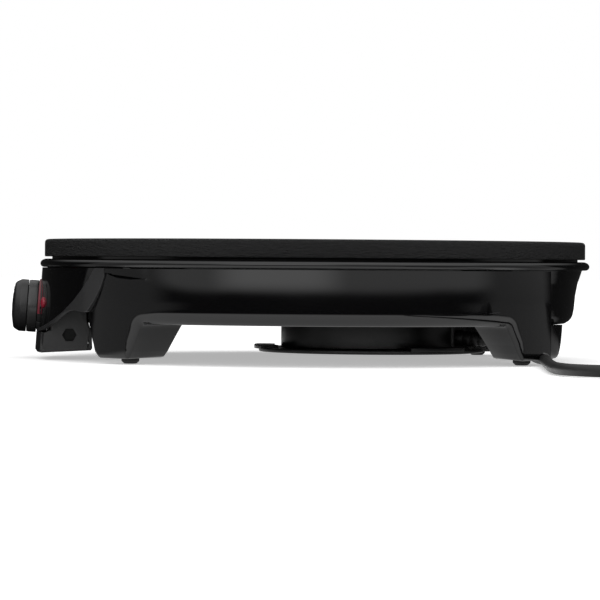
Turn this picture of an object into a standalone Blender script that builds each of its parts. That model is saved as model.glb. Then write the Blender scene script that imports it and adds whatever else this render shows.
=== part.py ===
"""Round electric hot plate with a front thermostat knob and a cord reel underneath.

Metres, +Z up, the table at Z = 0. The knob faces -X. Angles are measured in degrees round the
plate's axis from the front centre, growing towards the user's right hand side (-Y).
"""
import math

import bmesh
import bpy
from mathutils import Matrix, Vector

# ---------------------------------------------------------------- driving dimensions
GAP = 0.0003                    # clearance between pieces that touch
AXIS_X = 0.0095                 # the plate's axis, so that the whole body is centred on the origin

PLATE_RADIUS = 0.175
PLATE_TOP = 0.0767
SKIRT_HEIGHT = 0.0112
PLATE_THICKNESS = 0.005
PLATE_UNDERSIDE = PLATE_TOP - PLATE_THICKNESS

RIM_RADIUS = 0.1778             # the pan's lip, just under the plate
RIM_TOP = 0.0641
RIM_BOTTOM = 0.0587
BODY_BOTTOM = 0.0246            # lower edge of the body between the legs
FLOOR_BOTTOM = 0.0271
FLOOR_TOP = 0.0286
FLOOR_RADIUS = 0.149
RING_INNER = 0.142              # inner edge of the pan's inturned flange
NOTCH_RADIUS = 0.1516           # the pan is cut away outside this radius behind the controls
NOTCH_ANGLE = 34.2

SHELL_RADIUS = 0.176            # glossy side shells, which carry the legs
SHELL_TOP = 0.0582
SHELL_WALL = 0.0020
LEG_INNER_RADIUS = 0.137
LEG_TOP = 0.0243
LEG_BOTTOM = 0.0033
LEG_CORNER = 142.2
LIP_START = 0.0315              # the shell turns inwards below this height
FOOT_RADIUS = 0.0055

LEAN = 0.0675                   # the front leans forward by this much for each metre down
FRONT_TOP = 0.0584
FRONT_RADIUS_AT_TABLE = 0.18126
BOWL_ANGLE = 36.6               # half width of the fascia's top edge
BOWL_BOTTOM = 0.0198
BOWL_RISE = 0.0428
FASCIA_RECESS = 0.0008
FASCIA_THICKNESS = 0.0021
FRAME_THICKNESS = 0.0024

BOX_HALF_WIDTH = 0.037
BOX_WALL = 0.0024
BOX_REAR = -0.1442

KNOB_RADIUS = 0.0168
KNOB_HEIGHT = 0.0332            # height of the knob's centre on the fascia
KNOB_TRAVEL_DEGREES = 270

STUD_CIRCLE = 0.120
STUDS = {"front_right": 60, "rear": 180, "front_left": 300}
ELEMENT_CIRCLE = 0.100
ELEMENT_TUBE = 0.0033
SHIELD_LEVEL = 0.061

REEL_X = 0.037                  # the cord reel's axis
DRUM_RADIUS = 0.0585
DRUM_TOP = 0.0268
FLANGE_RADIUS = 0.073
FLANGE_BOTTOM = 0.0050
FLANGE_TOP = 0.0076
TAB_TOP = 0.0096                # the flange's four tongues

CORD_RADIUS = 0.0035
CORD_LEVEL = CORD_RADIUS + GAP
RELIEF_START = Vector((0.0905, -0.0285, 0.0150))
RELIEF_HEADING = -28.0
RELIEF_DROP = 0.05
RELIEF_LENGTH = 0.026
COIL_CENTRE = (0.210, -0.276)
COIL_INNER, COIL_OUTER, COIL_HEIGHT = 0.0312, 0.0458, 0.0137

# The cord's own route on the table, from the strain relief's tip to the coil.
CORD_ROUTE = [
    (0.1230, -0.0467, 0.0125), (0.1286, -0.0553, 0.0091), (0.1326, -0.0656, 0.0056),
    (0.1342, -0.0770, 0.0040), (0.1343, -0.0890, 0.0038), (0.1341, -0.1010, 0.0038),
    (0.1334, -0.1130, 0.0038), (0.1313, -0.1340, 0.0038), (0.1284, -0.1570, 0.0038),
    (0.1253, -0.1810, 0.0038), (0.1223, -0.2060, 0.0038), (0.1196, -0.2310, 0.0038),
    (0.1176, -0.2530, 0.0038), (0.1174, -0.2710, 0.0038), (0.1203, -0.2880, 0.0038),
    (0.1285, -0.3030, 0.0038), (0.1410, -0.3135, 0.0038), (0.1560, -0.3178, 0.0038),
    (0.1710, -0.3184, 0.0038), (0.1853, -0.3183, 0.0038),
]
PLUG_START = (0.2523, -0.2502, 0.0104)    # where the lead leaves the coil
PLUG_RISE = 11.8
PLUG_RADIUS = 0.019

MATERIALS = {
    # name: (colour, roughness, metallic)
    "plate_coating": ((0.018, 0.018, 0.019), 0.55, 0.0),
    "gloss_black": ((0.010, 0.010, 0.011), 0.12, 0.0),
    "satin_black": ((0.030, 0.030, 0.032), 0.38, 0.0),
    "reel_black": ((0.012, 0.012, 0.013), 0.25, 0.0),
    "rubber": ((0.020, 0.020, 0.020), 0.8, 0.0),
    "red_lens": ((0.55, 0.01, 0.02), 0.15, 0.0),
    "lamp_glass": ((0.80, 0.55, 0.40), 0.1, 0.0),
    "pointer_white": ((0.75, 0.75, 0.75), 0.4, 0.0),
    "steel": ((0.55, 0.55, 0.56), 0.35, 1.0),
    "element_steel": ((0.20, 0.20, 0.21), 0.45, 1.0),
    "aluminium": ((0.75, 0.76, 0.77), 0.35, 1.0),
    "brass": ((0.75, 0.55, 0.22), 0.35, 1.0),
    "ceramic": ((0.85, 0.83, 0.78), 0.6, 0.0),
    "cord_black": ((0.015, 0.015, 0.015), 0.5, 0.0),
    "wire_brown": ((0.16, 0.06, 0.03), 0.5, 0.0),
    "wire_blue": ((0.05, 0.12, 0.45), 0.5, 0.0),
    "wire_green": ((0.20, 0.50, 0.08), 0.5, 0.0),
}


# ---------------------------------------------------------------- scene and helpers
def clear_scene():
    for old in list(bpy.data.objects):
        bpy.data.objects.remove(old, do_unlink=True)


def make_materials():
    for name, (colour, roughness, metallic) in MATERIALS.items():
        material = bpy.data.materials.new(name)
        material.use_nodes = True
        shader = material.node_tree.nodes["Principled BSDF"]
        shader.inputs["Base Color"].default_value = (*colour, 1.0)
        shader.inputs["Roughness"].default_value = roughness
        shader.inputs["Metallic"].default_value = metallic
        material.diffuse_color = (*colour, 1.0)


def make_collection(name):
    collection = bpy.data.collections.new(name)
    bpy.context.scene.collection.children.link(collection)
    return collection


def make_empty(name, parent=None, location=(0, 0, 0)):
    empty = bpy.data.objects.new(name, None)
    empty.location = location
    empty.parent = parent
    PARTS.objects.link(empty)
    return empty


def add(name, data, material, parent=None, location=(0, 0, 0)):
    """Put a mesh or a curve in the model, under the plate's axis unless told otherwise."""
    data.materials.append(bpy.data.materials[material])
    piece = bpy.data.objects.new(name, data)
    piece.parent = parent or plate_axis
    piece.location = location
    PARTS.objects.link(piece)
    return piece


def smooth(piece, angle=35):
    piece.data.shade_smooth()
    piece.data.set_sharp_from_angle(angle=math.radians(angle))
    return piece


def polar(radius, angle, z, side=1):
    """A point at an angle from the front centre. Side 1 is the user's right, -1 the left."""
    a = math.radians(angle)
    return Vector((-radius * math.cos(a), -side * radius * math.sin(a), z))


def blend(low, high, share):
    return low + (high - low) * share


def along(value, stops):
    """Piecewise linear reading of a table of (position, value) stops."""
    if value <= stops[0][0]:
        return stops[0][1]
    for (x0, y0), (x1, y1) in zip(stops, stops[1:]):
        if value <= x1:
            return blend(y0, y1, (value - x0) / (x1 - x0))
    return stops[-1][1]


def turned(name, profile, material, steps=48, closed=False, parent=None, location=(0, 0, 0)):
    """A profile of (radius, height) points, outer side downwards, turned about Z."""
    mesh = bpy.data.meshes.new(name)
    edges = [(i, i + 1) for i in range(len(profile) - 1)]
    if closed:
        edges.append((len(profile) - 1, 0))
    mesh.from_pydata([(r, 0, z) for r, z in profile], edges, [])
    piece = add(name, mesh, material, parent, location)
    screw = piece.modifiers.new("turn", "SCREW")
    screw.steps = steps
    screw.render_steps = steps
    screw.use_merge_vertices = True
    screw.merge_threshold = 0.00001
    return piece


def mesh_of(piece):
    """The piece's finished mesh, with its modifiers and curve caps made real."""
    graph = bpy.context.evaluated_depsgraph_get()
    mesh = bpy.data.meshes.new_from_object(piece.evaluated_get(graph))
    shape = bmesh.new()
    shape.from_mesh(mesh)
    bmesh.ops.remove_doubles(shape, verts=shape.verts, dist=0.000005)
    bmesh.ops.recalc_face_normals(shape, faces=shape.faces)
    shape.to_mesh(mesh)
    shape.free()
    return mesh


def made_solid(piece):
    """Swap a curve, or a piece with modifiers, for a plain mesh of the same name and place."""
    bpy.context.view_layer.update()
    mesh = mesh_of(piece)
    solid = bpy.data.objects.new("solid", mesh)
    solid.parent = piece.parent
    solid.location = piece.location
    solid.rotation_mode = piece.rotation_mode
    solid.rotation_euler = piece.rotation_euler
    solid.rotation_quaternion = piece.rotation_quaternion
    piece.users_collection[0].objects.link(solid)
    name = piece.name
    bpy.data.objects.remove(piece, do_unlink=True)
    solid.name = name
    return solid


def tube(name, points, radius, material, sides=2, parent=None):
    """A round wire or tube along a list of points."""
    curve = bpy.data.curves.new(name, "CURVE")
    curve.dimensions = "3D"
    curve.bevel_depth = radius
    curve.bevel_resolution = sides
    curve.use_fill_caps = True
    spline = curve.splines.new("POLY")
    spline.points.add(len(points) - 1)
    for slot, point in zip(spline.points, points):
        slot.co = (*point, 1.0)
    return add(name, curve, material, parent)


def slab(name, outline, low, high, material, parent=None, location=(0, 0, 0)):
    """A flat outline with a thickness, lying between two heights."""
    curve = bpy.data.curves.new(name, "CURVE")
    curve.dimensions = "2D"
    curve.fill_mode = "BOTH"
    curve.extrude = (high - low) / 2
    spline = curve.splines.new("POLY")
    spline.points.add(len(outline) - 1)
    for slot, (x, y) in zip(spline.points, outline):
        slot.co = (x, y, 0, 1)
    spline.use_cyclic_u = True
    place = Vector(location) + Vector((0, 0, (low + high) / 2))
    return add(name, curve, material, parent, place)


def block(name, size, centre, material, parent=None):
    bpy.ops.mesh.primitive_cube_add(size=1)
    piece = bpy.context.object
    mesh = piece.data
    bpy.data.objects.remove(piece, do_unlink=True)
    for vertex in mesh.vertices:
        vertex.co = Vector(c * s for c, s in zip(vertex.co, size))
    return add(name, mesh, material, parent, centre)


def rod_mesh(name, radius, low, high, sides=16, shape=None):
    """An upright cylinder as a bmesh cone, added to an open bmesh or to a new mesh."""
    own = shape is None
    shape = shape or bmesh.new()
    made = bmesh.ops.create_cone(shape, cap_ends=True, segments=sides, radius1=radius,
                                 radius2=radius, depth=high - low)
    bmesh.ops.translate(shape, verts=made["verts"], vec=(0, 0, (low + high) / 2))
    if not own:
        return made["verts"]
    mesh = bpy.data.meshes.new(name)
    shape.to_mesh(mesh)
    shape.free()
    return mesh


def rod(name, radius, low, high, material, sides=16, parent=None, location=(0, 0, 0)):
    return add(name, rod_mesh(name, radius, low, high, sides), material, parent, location)


def rod_group(name, places, radius, low, high, material="steel", sides=16):
    """Upright rods in one helper mesh, for joining to a piece or for cutting holes in it."""
    shape = bmesh.new()
    for x, y in places:
        made = rod_mesh(name, radius, low, high, sides, shape)
        bmesh.ops.rotate(shape, verts=made, matrix=Matrix.Rotation(math.pi / sides, 3, "Z"))
        bmesh.ops.translate(shape, verts=made, vec=(x, y, 0))
    mesh = bpy.data.meshes.new(name)
    shape.to_mesh(mesh)
    shape.free()
    return add(name, mesh, material)


def copies(first, names, places):
    """Further pieces that share the first one's mesh, each set at its own place."""
    for name, (x, y) in zip(names, places):
        piece = first
        if name != names[0]:
            piece = bpy.data.objects.new(name, first.data)
            piece.parent = first.parent
            PARTS.objects.link(piece)
        piece.name = name
        piece.location = (x, y, 0)


def as_cutter(piece):
    piece.hide_render = True
    piece.display_type = "WIRE"
    for collection in list(piece.users_collection):
        collection.objects.unlink(piece)
    CUTTERS.objects.link(piece)
    return piece


def combine(piece, other, operation):
    """Cut or join a piece with a helper, which then counts as a cutter."""
    as_cutter(other)
    boolean = piece.modifiers.new(operation.lower(), "BOOLEAN")
    boolean.operation = operation
    boolean.solver = "EXACT"
    boolean.object = other
    return piece


def circle_places(radius, angles):
    return [tuple(polar(radius, angle, 0))[:2] for angle in angles]


def stud_places():
    return circle_places(STUD_CIRCLE, STUDS.values())


def sheet(name, rows, thickness, material, parent=None):
    """A curved panel: a grid of points seen from outside, thickened inwards."""
    mesh = bpy.data.meshes.new(name)
    wide = len(rows[0])
    faces = [(r * wide + c, r * wide + c + 1, (r + 1) * wide + c + 1, (r + 1) * wide + c)
             for r in range(len(rows) - 1) for c in range(wide - 1)]
    mesh.from_pydata([p for row in rows for p in row], [], faces)
    piece = add(name, mesh, material, parent)
    thicken(piece, thickness)
    return piece


def thicken(piece, thickness):
    wall = piece.modifiers.new("wall", "SOLIDIFY")
    wall.thickness = thickness
    wall.offset = -1
    wall.use_even_offset = True


def smooth_route(points, spacing):
    """Points read at even spacing from a smooth curve through the route's own points."""
    path = [Vector(p) for p in points]
    path = [path[0] * 2 - path[1]] + path + [path[-1] * 2 - path[-2]]
    fine = []
    for a, b, c, d in zip(path, path[1:], path[2:], path[3:]):
        for step in range(12):
            t = step / 12
            fine.append(0.5 * (2 * b + (c - a) * t + (2 * a - 5 * b + 4 * c - d) * t * t
                               + (3 * b - a - 3 * c + d) * t ** 3))
    fine.append(path[-2])
    total = sum((b - a).length for a, b in zip(fine, fine[1:]))
    count = max(2, round(total / spacing))
    read = [fine[0]]
    travelled, target = 0.0, total / count
    for a, b in zip(fine, fine[1:]):
        travelled += (b - a).length
        while travelled >= target - 1e-9 and len(read) < count:
            read.append(b - (b - a).normalized() * (travelled - target))
            target += total / count
    return read + [fine[-1]]


# ---------------------------------------------------------------- plate and heating
def cooking_plate():
    edge = PLATE_TOP - SKIRT_HEIGHT
    plate = turned("cooking_plate", [
        (0, PLATE_TOP), (PLATE_RADIUS - 0.0025, PLATE_TOP), (PLATE_RADIUS - 0.0007, PLATE_TOP - 0.0007),
        (PLATE_RADIUS, PLATE_TOP - 0.0025), (PLATE_RADIUS, edge + 0.0006),
        (PLATE_RADIUS - 0.0006, edge), (PLATE_RADIUS - 0.0036, edge),
        (PLATE_RADIUS - 0.0040, PLATE_UNDERSIDE), (0, PLATE_UNDERSIDE),
    ], "plate_coating", steps=72)
    bosses = rod_group("plate_bosses", stud_places(), 0.006, PLATE_UNDERSIDE - 0.0055,
                       PLATE_UNDERSIDE + 0.001, "plate_coating")
    return combine(plate, bosses, "UNION")


def heating_element():
    level = PLATE_UNDERSIDE - GAP - ELEMENT_TUBE
    loop = [polar(ELEMENT_CIRCLE, angle, level) for angle in range(10, 351, 10)]
    lead_in = [Vector((-0.1135, -0.0165, 0.0505)), Vector((-0.1130, -0.0165, 0.0590)),
               Vector((-0.1105, -0.0163, 0.0650)), Vector((-0.1055, -0.0160, 0.0678))]
    lead_out = [Vector((p.x, -p.y, p.z)) for p in reversed(lead_in)]
    tube("heating_element", lead_in + loop + lead_out, ELEMENT_TUBE, "element_steel")
    pin = made_solid(turned("terminal", [
        (0, 0.0505 - GAP), (0.0030, 0.0505 - GAP), (0.0030, 0.0478), (0.0014, 0.0470),
        (0.0014, 0.0400), (0, 0.0400),
    ], "steel", steps=12))
    copies(pin, ["element_terminal_right", "element_terminal_left"],
           [(-0.1135, -0.0165), (-0.1135, 0.0165)])


def element_clamps():
    """Sheet bridges that hold the tube against the plate, each with one screw."""
    inner, outer = 0.0036, 0.0048
    arc = [math.radians(a) for a in range(180, -1, -30)]
    ring = [(outer * math.cos(a), outer * math.sin(a)) for a in arc]
    bore = [(inner * math.cos(a), inner * math.sin(a)) for a in reversed(arc)]
    foot = [(0.0130, -0.0024), (0.0130, -0.0036), (inner, -0.0036)]
    outline = [(-outer, -0.0036)] + ring + [(outer, -0.0024)] + foot + bore + [(-inner, -0.0036)]
    level = PLATE_UNDERSIDE - GAP - ELEMENT_TUBE
    for name, side in (("right", 1), ("left", -1)):
        clamp = slab(f"element_clamp_{name}", outline, -0.004, 0.004, "steel")
        clamp.location = (0, -side * ELEMENT_CIRCLE, level)
        clamp.rotation_euler = (math.radians(-90), 0, math.radians(90 * side))
        rod(f"clamp_screw_{name}", 0.0026, 0.0668, 0.0700, "steel", sides=10,
            location=(0, -side * (ELEMENT_CIRCLE - 0.0095), 0))


def heat_shield():
    low, high = SHIELD_LEVEL, SHIELD_LEVEL + 0.001
    shield = made_solid(turned("heat_shield", [
        (0.1600, high + 0.0040), (0.1600, low), (0.0140, low), (0.0140, high),
        (0.1590, high), (0.1590, high + 0.0040),
    ], "aluminium", steps=40, closed=True))
    holes = rod_group("shield_holes", stud_places(), 0.0055, low - 0.002, high + 0.002)
    combine(shield, holes, "DIFFERENCE")
    slot = block("shield_slot", (0.014, 0.046, 0.006), (-0.1120, 0, SHIELD_LEVEL), "steel")
    return combine(shield, slot, "DIFFERENCE")


def plate_studs():
    """Spacers that carry the plate above the floor, with a collar under the heat shield."""
    top = PLATE_UNDERSIDE - 0.0055 - GAP
    collar = SHIELD_LEVEL - GAP
    stud = made_solid(turned("stud", [
        (0, top), (0.0042, top), (0.0042, collar), (0.0075, collar), (0.0075, collar - 0.0015),
        (0.0045, collar - 0.0030), (0.0045, FLOOR_TOP + GAP), (0, FLOOR_TOP + GAP),
    ], "steel", steps=12))
    copies(stud, [f"plate_stud_{place}" for place in STUDS], stud_places())
    screw = rod("screw", 0.0042, 0.0245, FLOOR_BOTTOM - GAP, "steel", sides=6)
    copies(screw, [f"stud_screw_{place}" for place in STUDS], stud_places())


def sensing_parts():
    level = PLATE_UNDERSIDE - GAP
    capillary = [(-0.0540, -0.006, 0.0691), (-0.063, -0.006, 0.0688), (-0.075, -0.005, 0.0670),
                 (-0.095, -0.002, 0.0655), (-0.110, 0.000, 0.0630), (-0.1125, 0.000, 0.0560),
                 (-0.118, 0.000, 0.0490), (-0.135, 0.000, 0.0475), (-0.1545, 0.000, 0.0475)]
    sensor = made_solid(tube("sensor_capillary", smooth_route(capillary, 0.006), 0.0009, "brass"))
    bulb = made_solid(tube("sensor_bulb", [(-0.055, -0.006, 0.0691), (0.010, -0.006, 0.0691)],
                           0.0022, "brass"))
    combine(sensor, bulb, "UNION")
    turned("thermal_cutout", [(0, level), (0.0080, level), (0.0080, level - 0.0012),
                              (0.0065, level - 0.0014), (0.0065, level - 0.0058), (0, level - 0.0058)],
           "ceramic", steps=24, location=(0.020, 0.050, 0))


# ---------------------------------------------------------------- body
PAN_OUTLINE = [  # outside of the pan's wall below the lip, downwards
    (0.1722, 0.0570), (0.1703, 0.0505), (0.1688, 0.0426), (0.1680, 0.0340),
    (0.1670, 0.0290), (0.1650, 0.0264), (0.1622, BODY_BOTTOM),
]
PAN_WALL = 0.0021


def base_pan():
    lip = [(0.1716, RIM_TOP), (0.1742, RIM_TOP), (0.1763, RIM_TOP - 0.0007),
           (RIM_RADIUS - 0.0003, RIM_TOP - 0.0022), (RIM_RADIUS, RIM_TOP - 0.0036),
           (RIM_RADIUS - 0.0006, RIM_BOTTOM), (0.1730, RIM_BOTTOM)]
    inside = [(RING_INNER, BODY_BOTTOM), (RING_INNER, BODY_BOTTOM + 0.0021),
              (0.1616, BODY_BOTTOM + 0.0021), (0.1648, 0.0296), (0.1668, 0.0430), (0.1694, 0.0560),
              (0.1716, RIM_BOTTOM + 0.0020)]
    pan = turned("base_pan", lip + PAN_OUTLINE + inside, "gloss_black", steps=60, closed=True)
    reach = 0.19
    arc = [tuple(polar(reach, angle, 0))[:2] for angle in (-NOTCH_ANGLE, -17, 0, 17, NOTCH_ANGLE)]
    near = [tuple(polar(NOTCH_RADIUS, NOTCH_ANGLE * s / 4, 0))[:2] for s in range(4, -5, -1)]
    notch = made_solid(slab("control_notch", arc + near, 0.0235, 0.0335, "steel"))
    combine(pan, notch, "DIFFERENCE")
    well = block("thermostat_well", (0.030, 0.076, 0.030), (-0.1695, 0, 0.0380), "steel")
    combine(pan, well, "DIFFERENCE")
    outer, inner = NOTCH_RADIUS, NOTCH_RADIUS - 0.0020
    angles = [(NOTCH_ANGLE + 0.8) * s / 5 for s in range(-5, 6)]
    outline = [tuple(polar(outer, a, 0))[:2] for a in angles]
    outline += [tuple(polar(inner, a, 0))[:2] for a in reversed(angles)]
    wall = made_solid(slab("front_bulkhead", outline, BODY_BOTTOM + 0.0010, 0.0460, "gloss_black"))
    combine(pan, wall, "UNION")
    port = block("bulkhead_port", (0.012, 0.012, 0.020), (-0.1500, 0, 0.0440), "steel")
    return combine(pan, port, "DIFFERENCE")


def base_cover():
    cover = made_solid(slab("base_cover", circle_outline(FLOOR_RADIUS - 0.0003, 48),
                            FLOOR_BOTTOM, FLOOR_TOP, "satin_black"))
    shape = bmesh.new()
    for angle in (35, 50, 95, 110, 140, 155, 205, 220, 250, 265, 310, 325):
        made = bmesh.ops.create_cube(shape, size=1)
        for vertex in made["verts"]:
            x, y, z = vertex.co
            a = math.radians(angle)
            across = Vector((-math.sin(a), math.cos(a), 0))
            centre = Vector((math.cos(a), math.sin(a), 0)) * (0.120 + x * 0.026)
            vertex.co = centre + across * y * 0.004 + Vector((0, 0, 0.028 + z * 0.006))
    mesh = bpy.data.meshes.new("floor_vents")
    shape.to_mesh(mesh)
    shape.free()
    combine(cover, add("floor_vents", mesh, "steel"), "DIFFERENCE")
    entry = rod("cord_entry", 0.0065, 0.024, 0.032, "steel", location=(0.052, -0.012, 0))
    return combine(cover, entry, "DIFFERENCE")


def circle_outline(radius, count, centre=(0, 0)):
    return [(centre[0] + radius * math.cos(2 * math.pi * i / count),
             centre[1] + radius * math.sin(2 * math.pi * i / count)) for i in range(count)]


def shell_front_edge(z):
    """Angle of a side shell's front edge at a height."""
    return along(z, [(0.0033, 37.0), (0.0068, 35.4), (0.0202, 34.0), (0.0300, 32.9), (0.0312, 33.4),
                     (0.0325, 34.5), (0.0399, 36.7), (0.0480, 38.4), (0.0582, 39.3)])


def shell_columns(z):
    """Angles of the shell's columns at a height, from its front edge to its rear corner."""
    front = shell_front_edge(z)
    front_cut = along(z, [(0.0033, 45.2), (0.0052, 45.7), (0.0120, 46.4), (LEG_TOP, 47.9)])
    rear_cut = along(z, [(0.0033, 132.2), (0.0052, 131.7), (0.0120, 130.7), (LEG_TOP, 128.7)])
    return ([blend(front, front_cut, share / 3) for share in range(4)]
            + [50.4, 58, 67, 76, 85, 94, 103, 112, 120, 126.3]
            + [blend(rear_cut, LEG_CORNER, share / 3) for share in range(4)])


def shell_radius(column, z):
    """The lip turns inwards between the legs and stays upright over them."""
    in_leg = column < 4 or column > 13
    if in_leg:
        return SHELL_RADIUS
    return SHELL_RADIUS - along(z, [(LEG_TOP, 0.0040), (0.0280, 0.0016), (LIP_START, 0)])


def leg_loop(z, front):
    """Closed outline of a leg at a height, starting along its outer face."""
    columns = shell_columns(z)
    if front:
        outer = [(SHELL_RADIUS, a) for a in columns[:4]]
        cut_inner = along(z, [(0.0033, 43.0), (0.0052, 43.6), (0.0120, 45.6), (LEG_TOP, 49.2)])
        inner_end = along(z, [(0.0033, 39.0), (0.0120, 37.5), (LEG_TOP, 36.0)])
        back = [(0.156, blend(outer[-1][1], cut_inner, 0.5))]
        back += [(LEG_INNER_RADIUS, blend(cut_inner, inner_end, s / 3)) for s in range(4)]
        back += [(0.156, blend(inner_end, outer[0][1], 0.5))]
        return outer + back
    outer = [(SHELL_RADIUS, a) for a in columns[14:]]
    recess = along(z, [(0.0033, 0.1668), (0.0120, 0.1690), (LEG_TOP, 0.1700)])
    cut_inner = along(z, [(0.0033, 140.3), (0.0052, 139.6), (0.0120, 136.8), (LEG_TOP, 131.6)])
    back = [(recess, LEG_CORNER), (recess, 148.0), (recess, 153.3), (0.152, 152.0)]
    back += [(LEG_INNER_RADIUS, blend(150.0, cut_inner, s / 3)) for s in range(4)]
    back += [(0.156, blend(cut_inner, outer[0][1], 0.5))]
    return outer + back


def side_shell(name, side):
    """Glossy wall with a front and a rear leg, thickened inwards from its outer surface."""
    shape = bmesh.new()

    def vertex(radius, angle, z):
        return shape.verts.new(polar(radius, angle, z, side))

    def quad(a, b, c, d):
        corners = [a, b, c, d] if side > 0 else [d, c, b, a]
        shape.faces.new(corners)

    levels = [SHELL_TOP, 0.0480, 0.0400, LIP_START, 0.0280, LEG_TOP]
    wall = [[vertex(shell_radius(c, z), angle, z) for c, angle in enumerate(shell_columns(z))]
            for z in levels]
    for upper, lower in zip(wall, wall[1:]):
        for c in range(len(upper) - 1):
            quad(upper[c], lower[c], lower[c + 1], upper[c + 1])
    pan_edge = [along(z, [(r[1], r[0] + 0.0006) for r in reversed(PAN_OUTLINE)]) for z in levels]
    returns = [vertex(min(r, SHELL_RADIUS - 0.0023), LEG_CORNER, z)
               for r, z in zip(pan_edge, levels[:-1])]
    for (upper, lower), (upper_in, lower_in) in zip(
            zip(wall, wall[1:-1]), zip(returns, returns[1:])):
        quad(upper[-1], lower[-1], lower_in, upper_in)

    for front, shared in ((True, wall[-1][:4]), (False, wall[-1][14:])):
        heights = [LEG_TOP, 0.0130, 0.0062, LEG_BOTTOM]
        loops = [leg_loop(z, front) for z in heights]
        rows = [shared + [vertex(r, a, LEG_TOP - 0.0017) for r, a in loops[0][4:]]]
        rows += [[vertex(r, a, z) for r, a in loop] for loop, z in zip(loops[1:-1], heights[1:])]
        middle = 0.156
        rows.append([vertex(blend(r, middle, 0.06), a, LEG_BOTTOM) for r, a in loops[-1]])
        count = len(rows[0])
        for upper, lower in zip(rows, rows[1:]):
            for c in range(count):
                after = (c + 1) % count
                quad(upper[c], lower[c], lower[after], upper[after])
        shape.faces.new(rows[-1] if side < 0 else list(reversed(rows[-1])))
        if not front:
            quad(wall[-2][-1], wall[-1][-1], rows[0][4], returns[-1])
    mesh = bpy.data.meshes.new(name)
    shape.to_mesh(mesh)
    shape.free()
    shell = add(name, mesh, "gloss_black")
    thicken(shell, SHELL_WALL)
    return shell


def route_strip(points, half_width):
    """Outline of a strip that follows a flat route."""
    left, right = [], []
    for i, point in enumerate(points):
        before = Vector(points[max(i - 1, 0)][:2])
        after = Vector(points[min(i + 1, len(points) - 1)][:2])
        heading = (after - before).normalized()
        normal = Vector((-heading.y, heading.x)) * half_width
        left.append(tuple(Vector(point[:2]) + normal))
        right.append(tuple(Vector(point[:2]) - normal))
    return left + right[::-1]


def side_shells():
    side_shell("side_shell_left", -1)
    shell = made_solid(side_shell("side_shell_right", 1))
    through = [(0.1262, -0.0505), (0.1300, -0.0580), (0.1329, -0.0660), (0.1342, -0.0770),
               (0.1342, -0.1010), (0.1334, -0.1130), (0.1325, -0.1220)]
    channel = made_solid(slab("cord_channel", route_strip(through, 0.0042), -0.002, 0.0081, "steel"))
    return combine(shell, channel, "DIFFERENCE")


def rubber_feet():
    for name, angle, side in (("foot_front_right", 40.7, 1), ("foot_front_left", 40.7, -1),
                              ("foot_rear_right", 138.9, 1), ("foot_rear_left", 138.9, -1)):
        radius = 0.160
        place = polar(radius, angle, 0, side)
        turned(name, [(0, LEG_BOTTOM - GAP), (FOOT_RADIUS - 0.0004, LEG_BOTTOM - GAP),
                      (FOOT_RADIUS, 0.0010), (FOOT_RADIUS - 0.0010, 0), (0, 0)],
               "rubber", steps=16, location=place)


# ---------------------------------------------------------------- front module
def front_radius(z):
    return FRONT_RADIUS_AT_TABLE - LEAN * z


def bowl_edge(angle):
    """Height of the fascia's lower edge at an angle."""
    u = min(abs(angle) / BOWL_ANGLE, 1)
    return BOWL_BOTTOM + BOWL_RISE * (0.76 * u ** 2.6 + 0.24 * u ** 8)


def frame_low_edge(angle):
    return along(abs(angle), [(0, 0.0179), (8, 0.0187), (12, 0.0199), (15.2, 0.0214), (19.4, 0.0240),
                              (23.7, 0.0289), (26, 0.0315), (28.5, 0.0323), (33.6, 0.0312),
                              (34.2, 0.0322), (36.3, 0.0395), (38.0, 0.0476), (38.9, 0.0560)])


def loft(name, sections, material):
    """A closed body through sections with the same number of corners, capped at both ends."""
    shape = bmesh.new()
    rings = [[shape.verts.new(point) for point in section] for section in sections]
    for first, second in zip(rings, rings[1:]):
        for i in range(len(first)):
            j = (i + 1) % len(first)
            shape.faces.new((first[i], first[j], second[j], second[i]))
    shape.faces.new(rings[0])
    shape.faces.new(rings[-1])
    bmesh.ops.recalc_face_normals(shape, faces=shape.faces)
    mesh = bpy.data.meshes.new(name)
    shape.to_mesh(mesh)
    shape.free()
    return add(name, mesh, material)


def front_frame():
    """Band round the fascia's bowl, with a floor behind its lower edge beside the control box."""
    angles = [38.8, 37.6, 36.0, 34.4, 33.3, 32.8, 30.5, 28, 25.5, 23, 20.5, 18, 15.5, 14.3, 12, 8, 4]
    sections = []
    for angle in angles + [0] + [-a for a in reversed(angles)]:
        low = frame_low_edge(angle)
        high = min(FRONT_TOP, bowl_edge(angle) - GAP)
        step = low + min(0.0010, 0.6 * (high - low))
        wall = inside = front_radius(high) - FRAME_THICKNESS
        if abs(angle) > 33:
            wall = inside = SHELL_RADIUS + GAP
        elif abs(angle) > 15:
            inside = NOTCH_RADIUS + 2 * GAP
        corners = [(front_radius(high), high), (front_radius((low + high) / 2), (low + high) / 2),
                   (front_radius(low), low), (inside, low), (inside, step - 0.0001), (wall, step),
                   (wall, high)]
        sections.append([polar(r, angle, z) for r, z in corners])
    return loft("front_frame", sections, "satin_black")


def fascia_panel():
    angles = [-35.6 + 71.2 * i / 26 for i in range(27)]
    rows = [[] for _ in range(5)]
    for angle in angles:
        low = bowl_edge(angle)
        for row, share in zip(rows, (0, 0.25, 0.5, 0.75, 1)):
            z = blend(FRONT_TOP, low, share)
            row.append(polar(front_radius(z) - FASCIA_RECESS, angle, z))
    panel = sheet("fascia_panel", [list(reversed(row)) for row in rows], FASCIA_THICKNESS, "gloss_black")
    bush_hole = rod("bush_hole", 0.0052, -0.010, 0.006, "steel", parent=knob_axis)
    combine(panel, bush_hole, "DIFFERENCE")
    lens_hole = rod("lens_hole", 0.0038, -0.010, 0.006, "steel", parent=lens_axis)
    return combine(panel, lens_hole, "DIFFERENCE")


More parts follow.
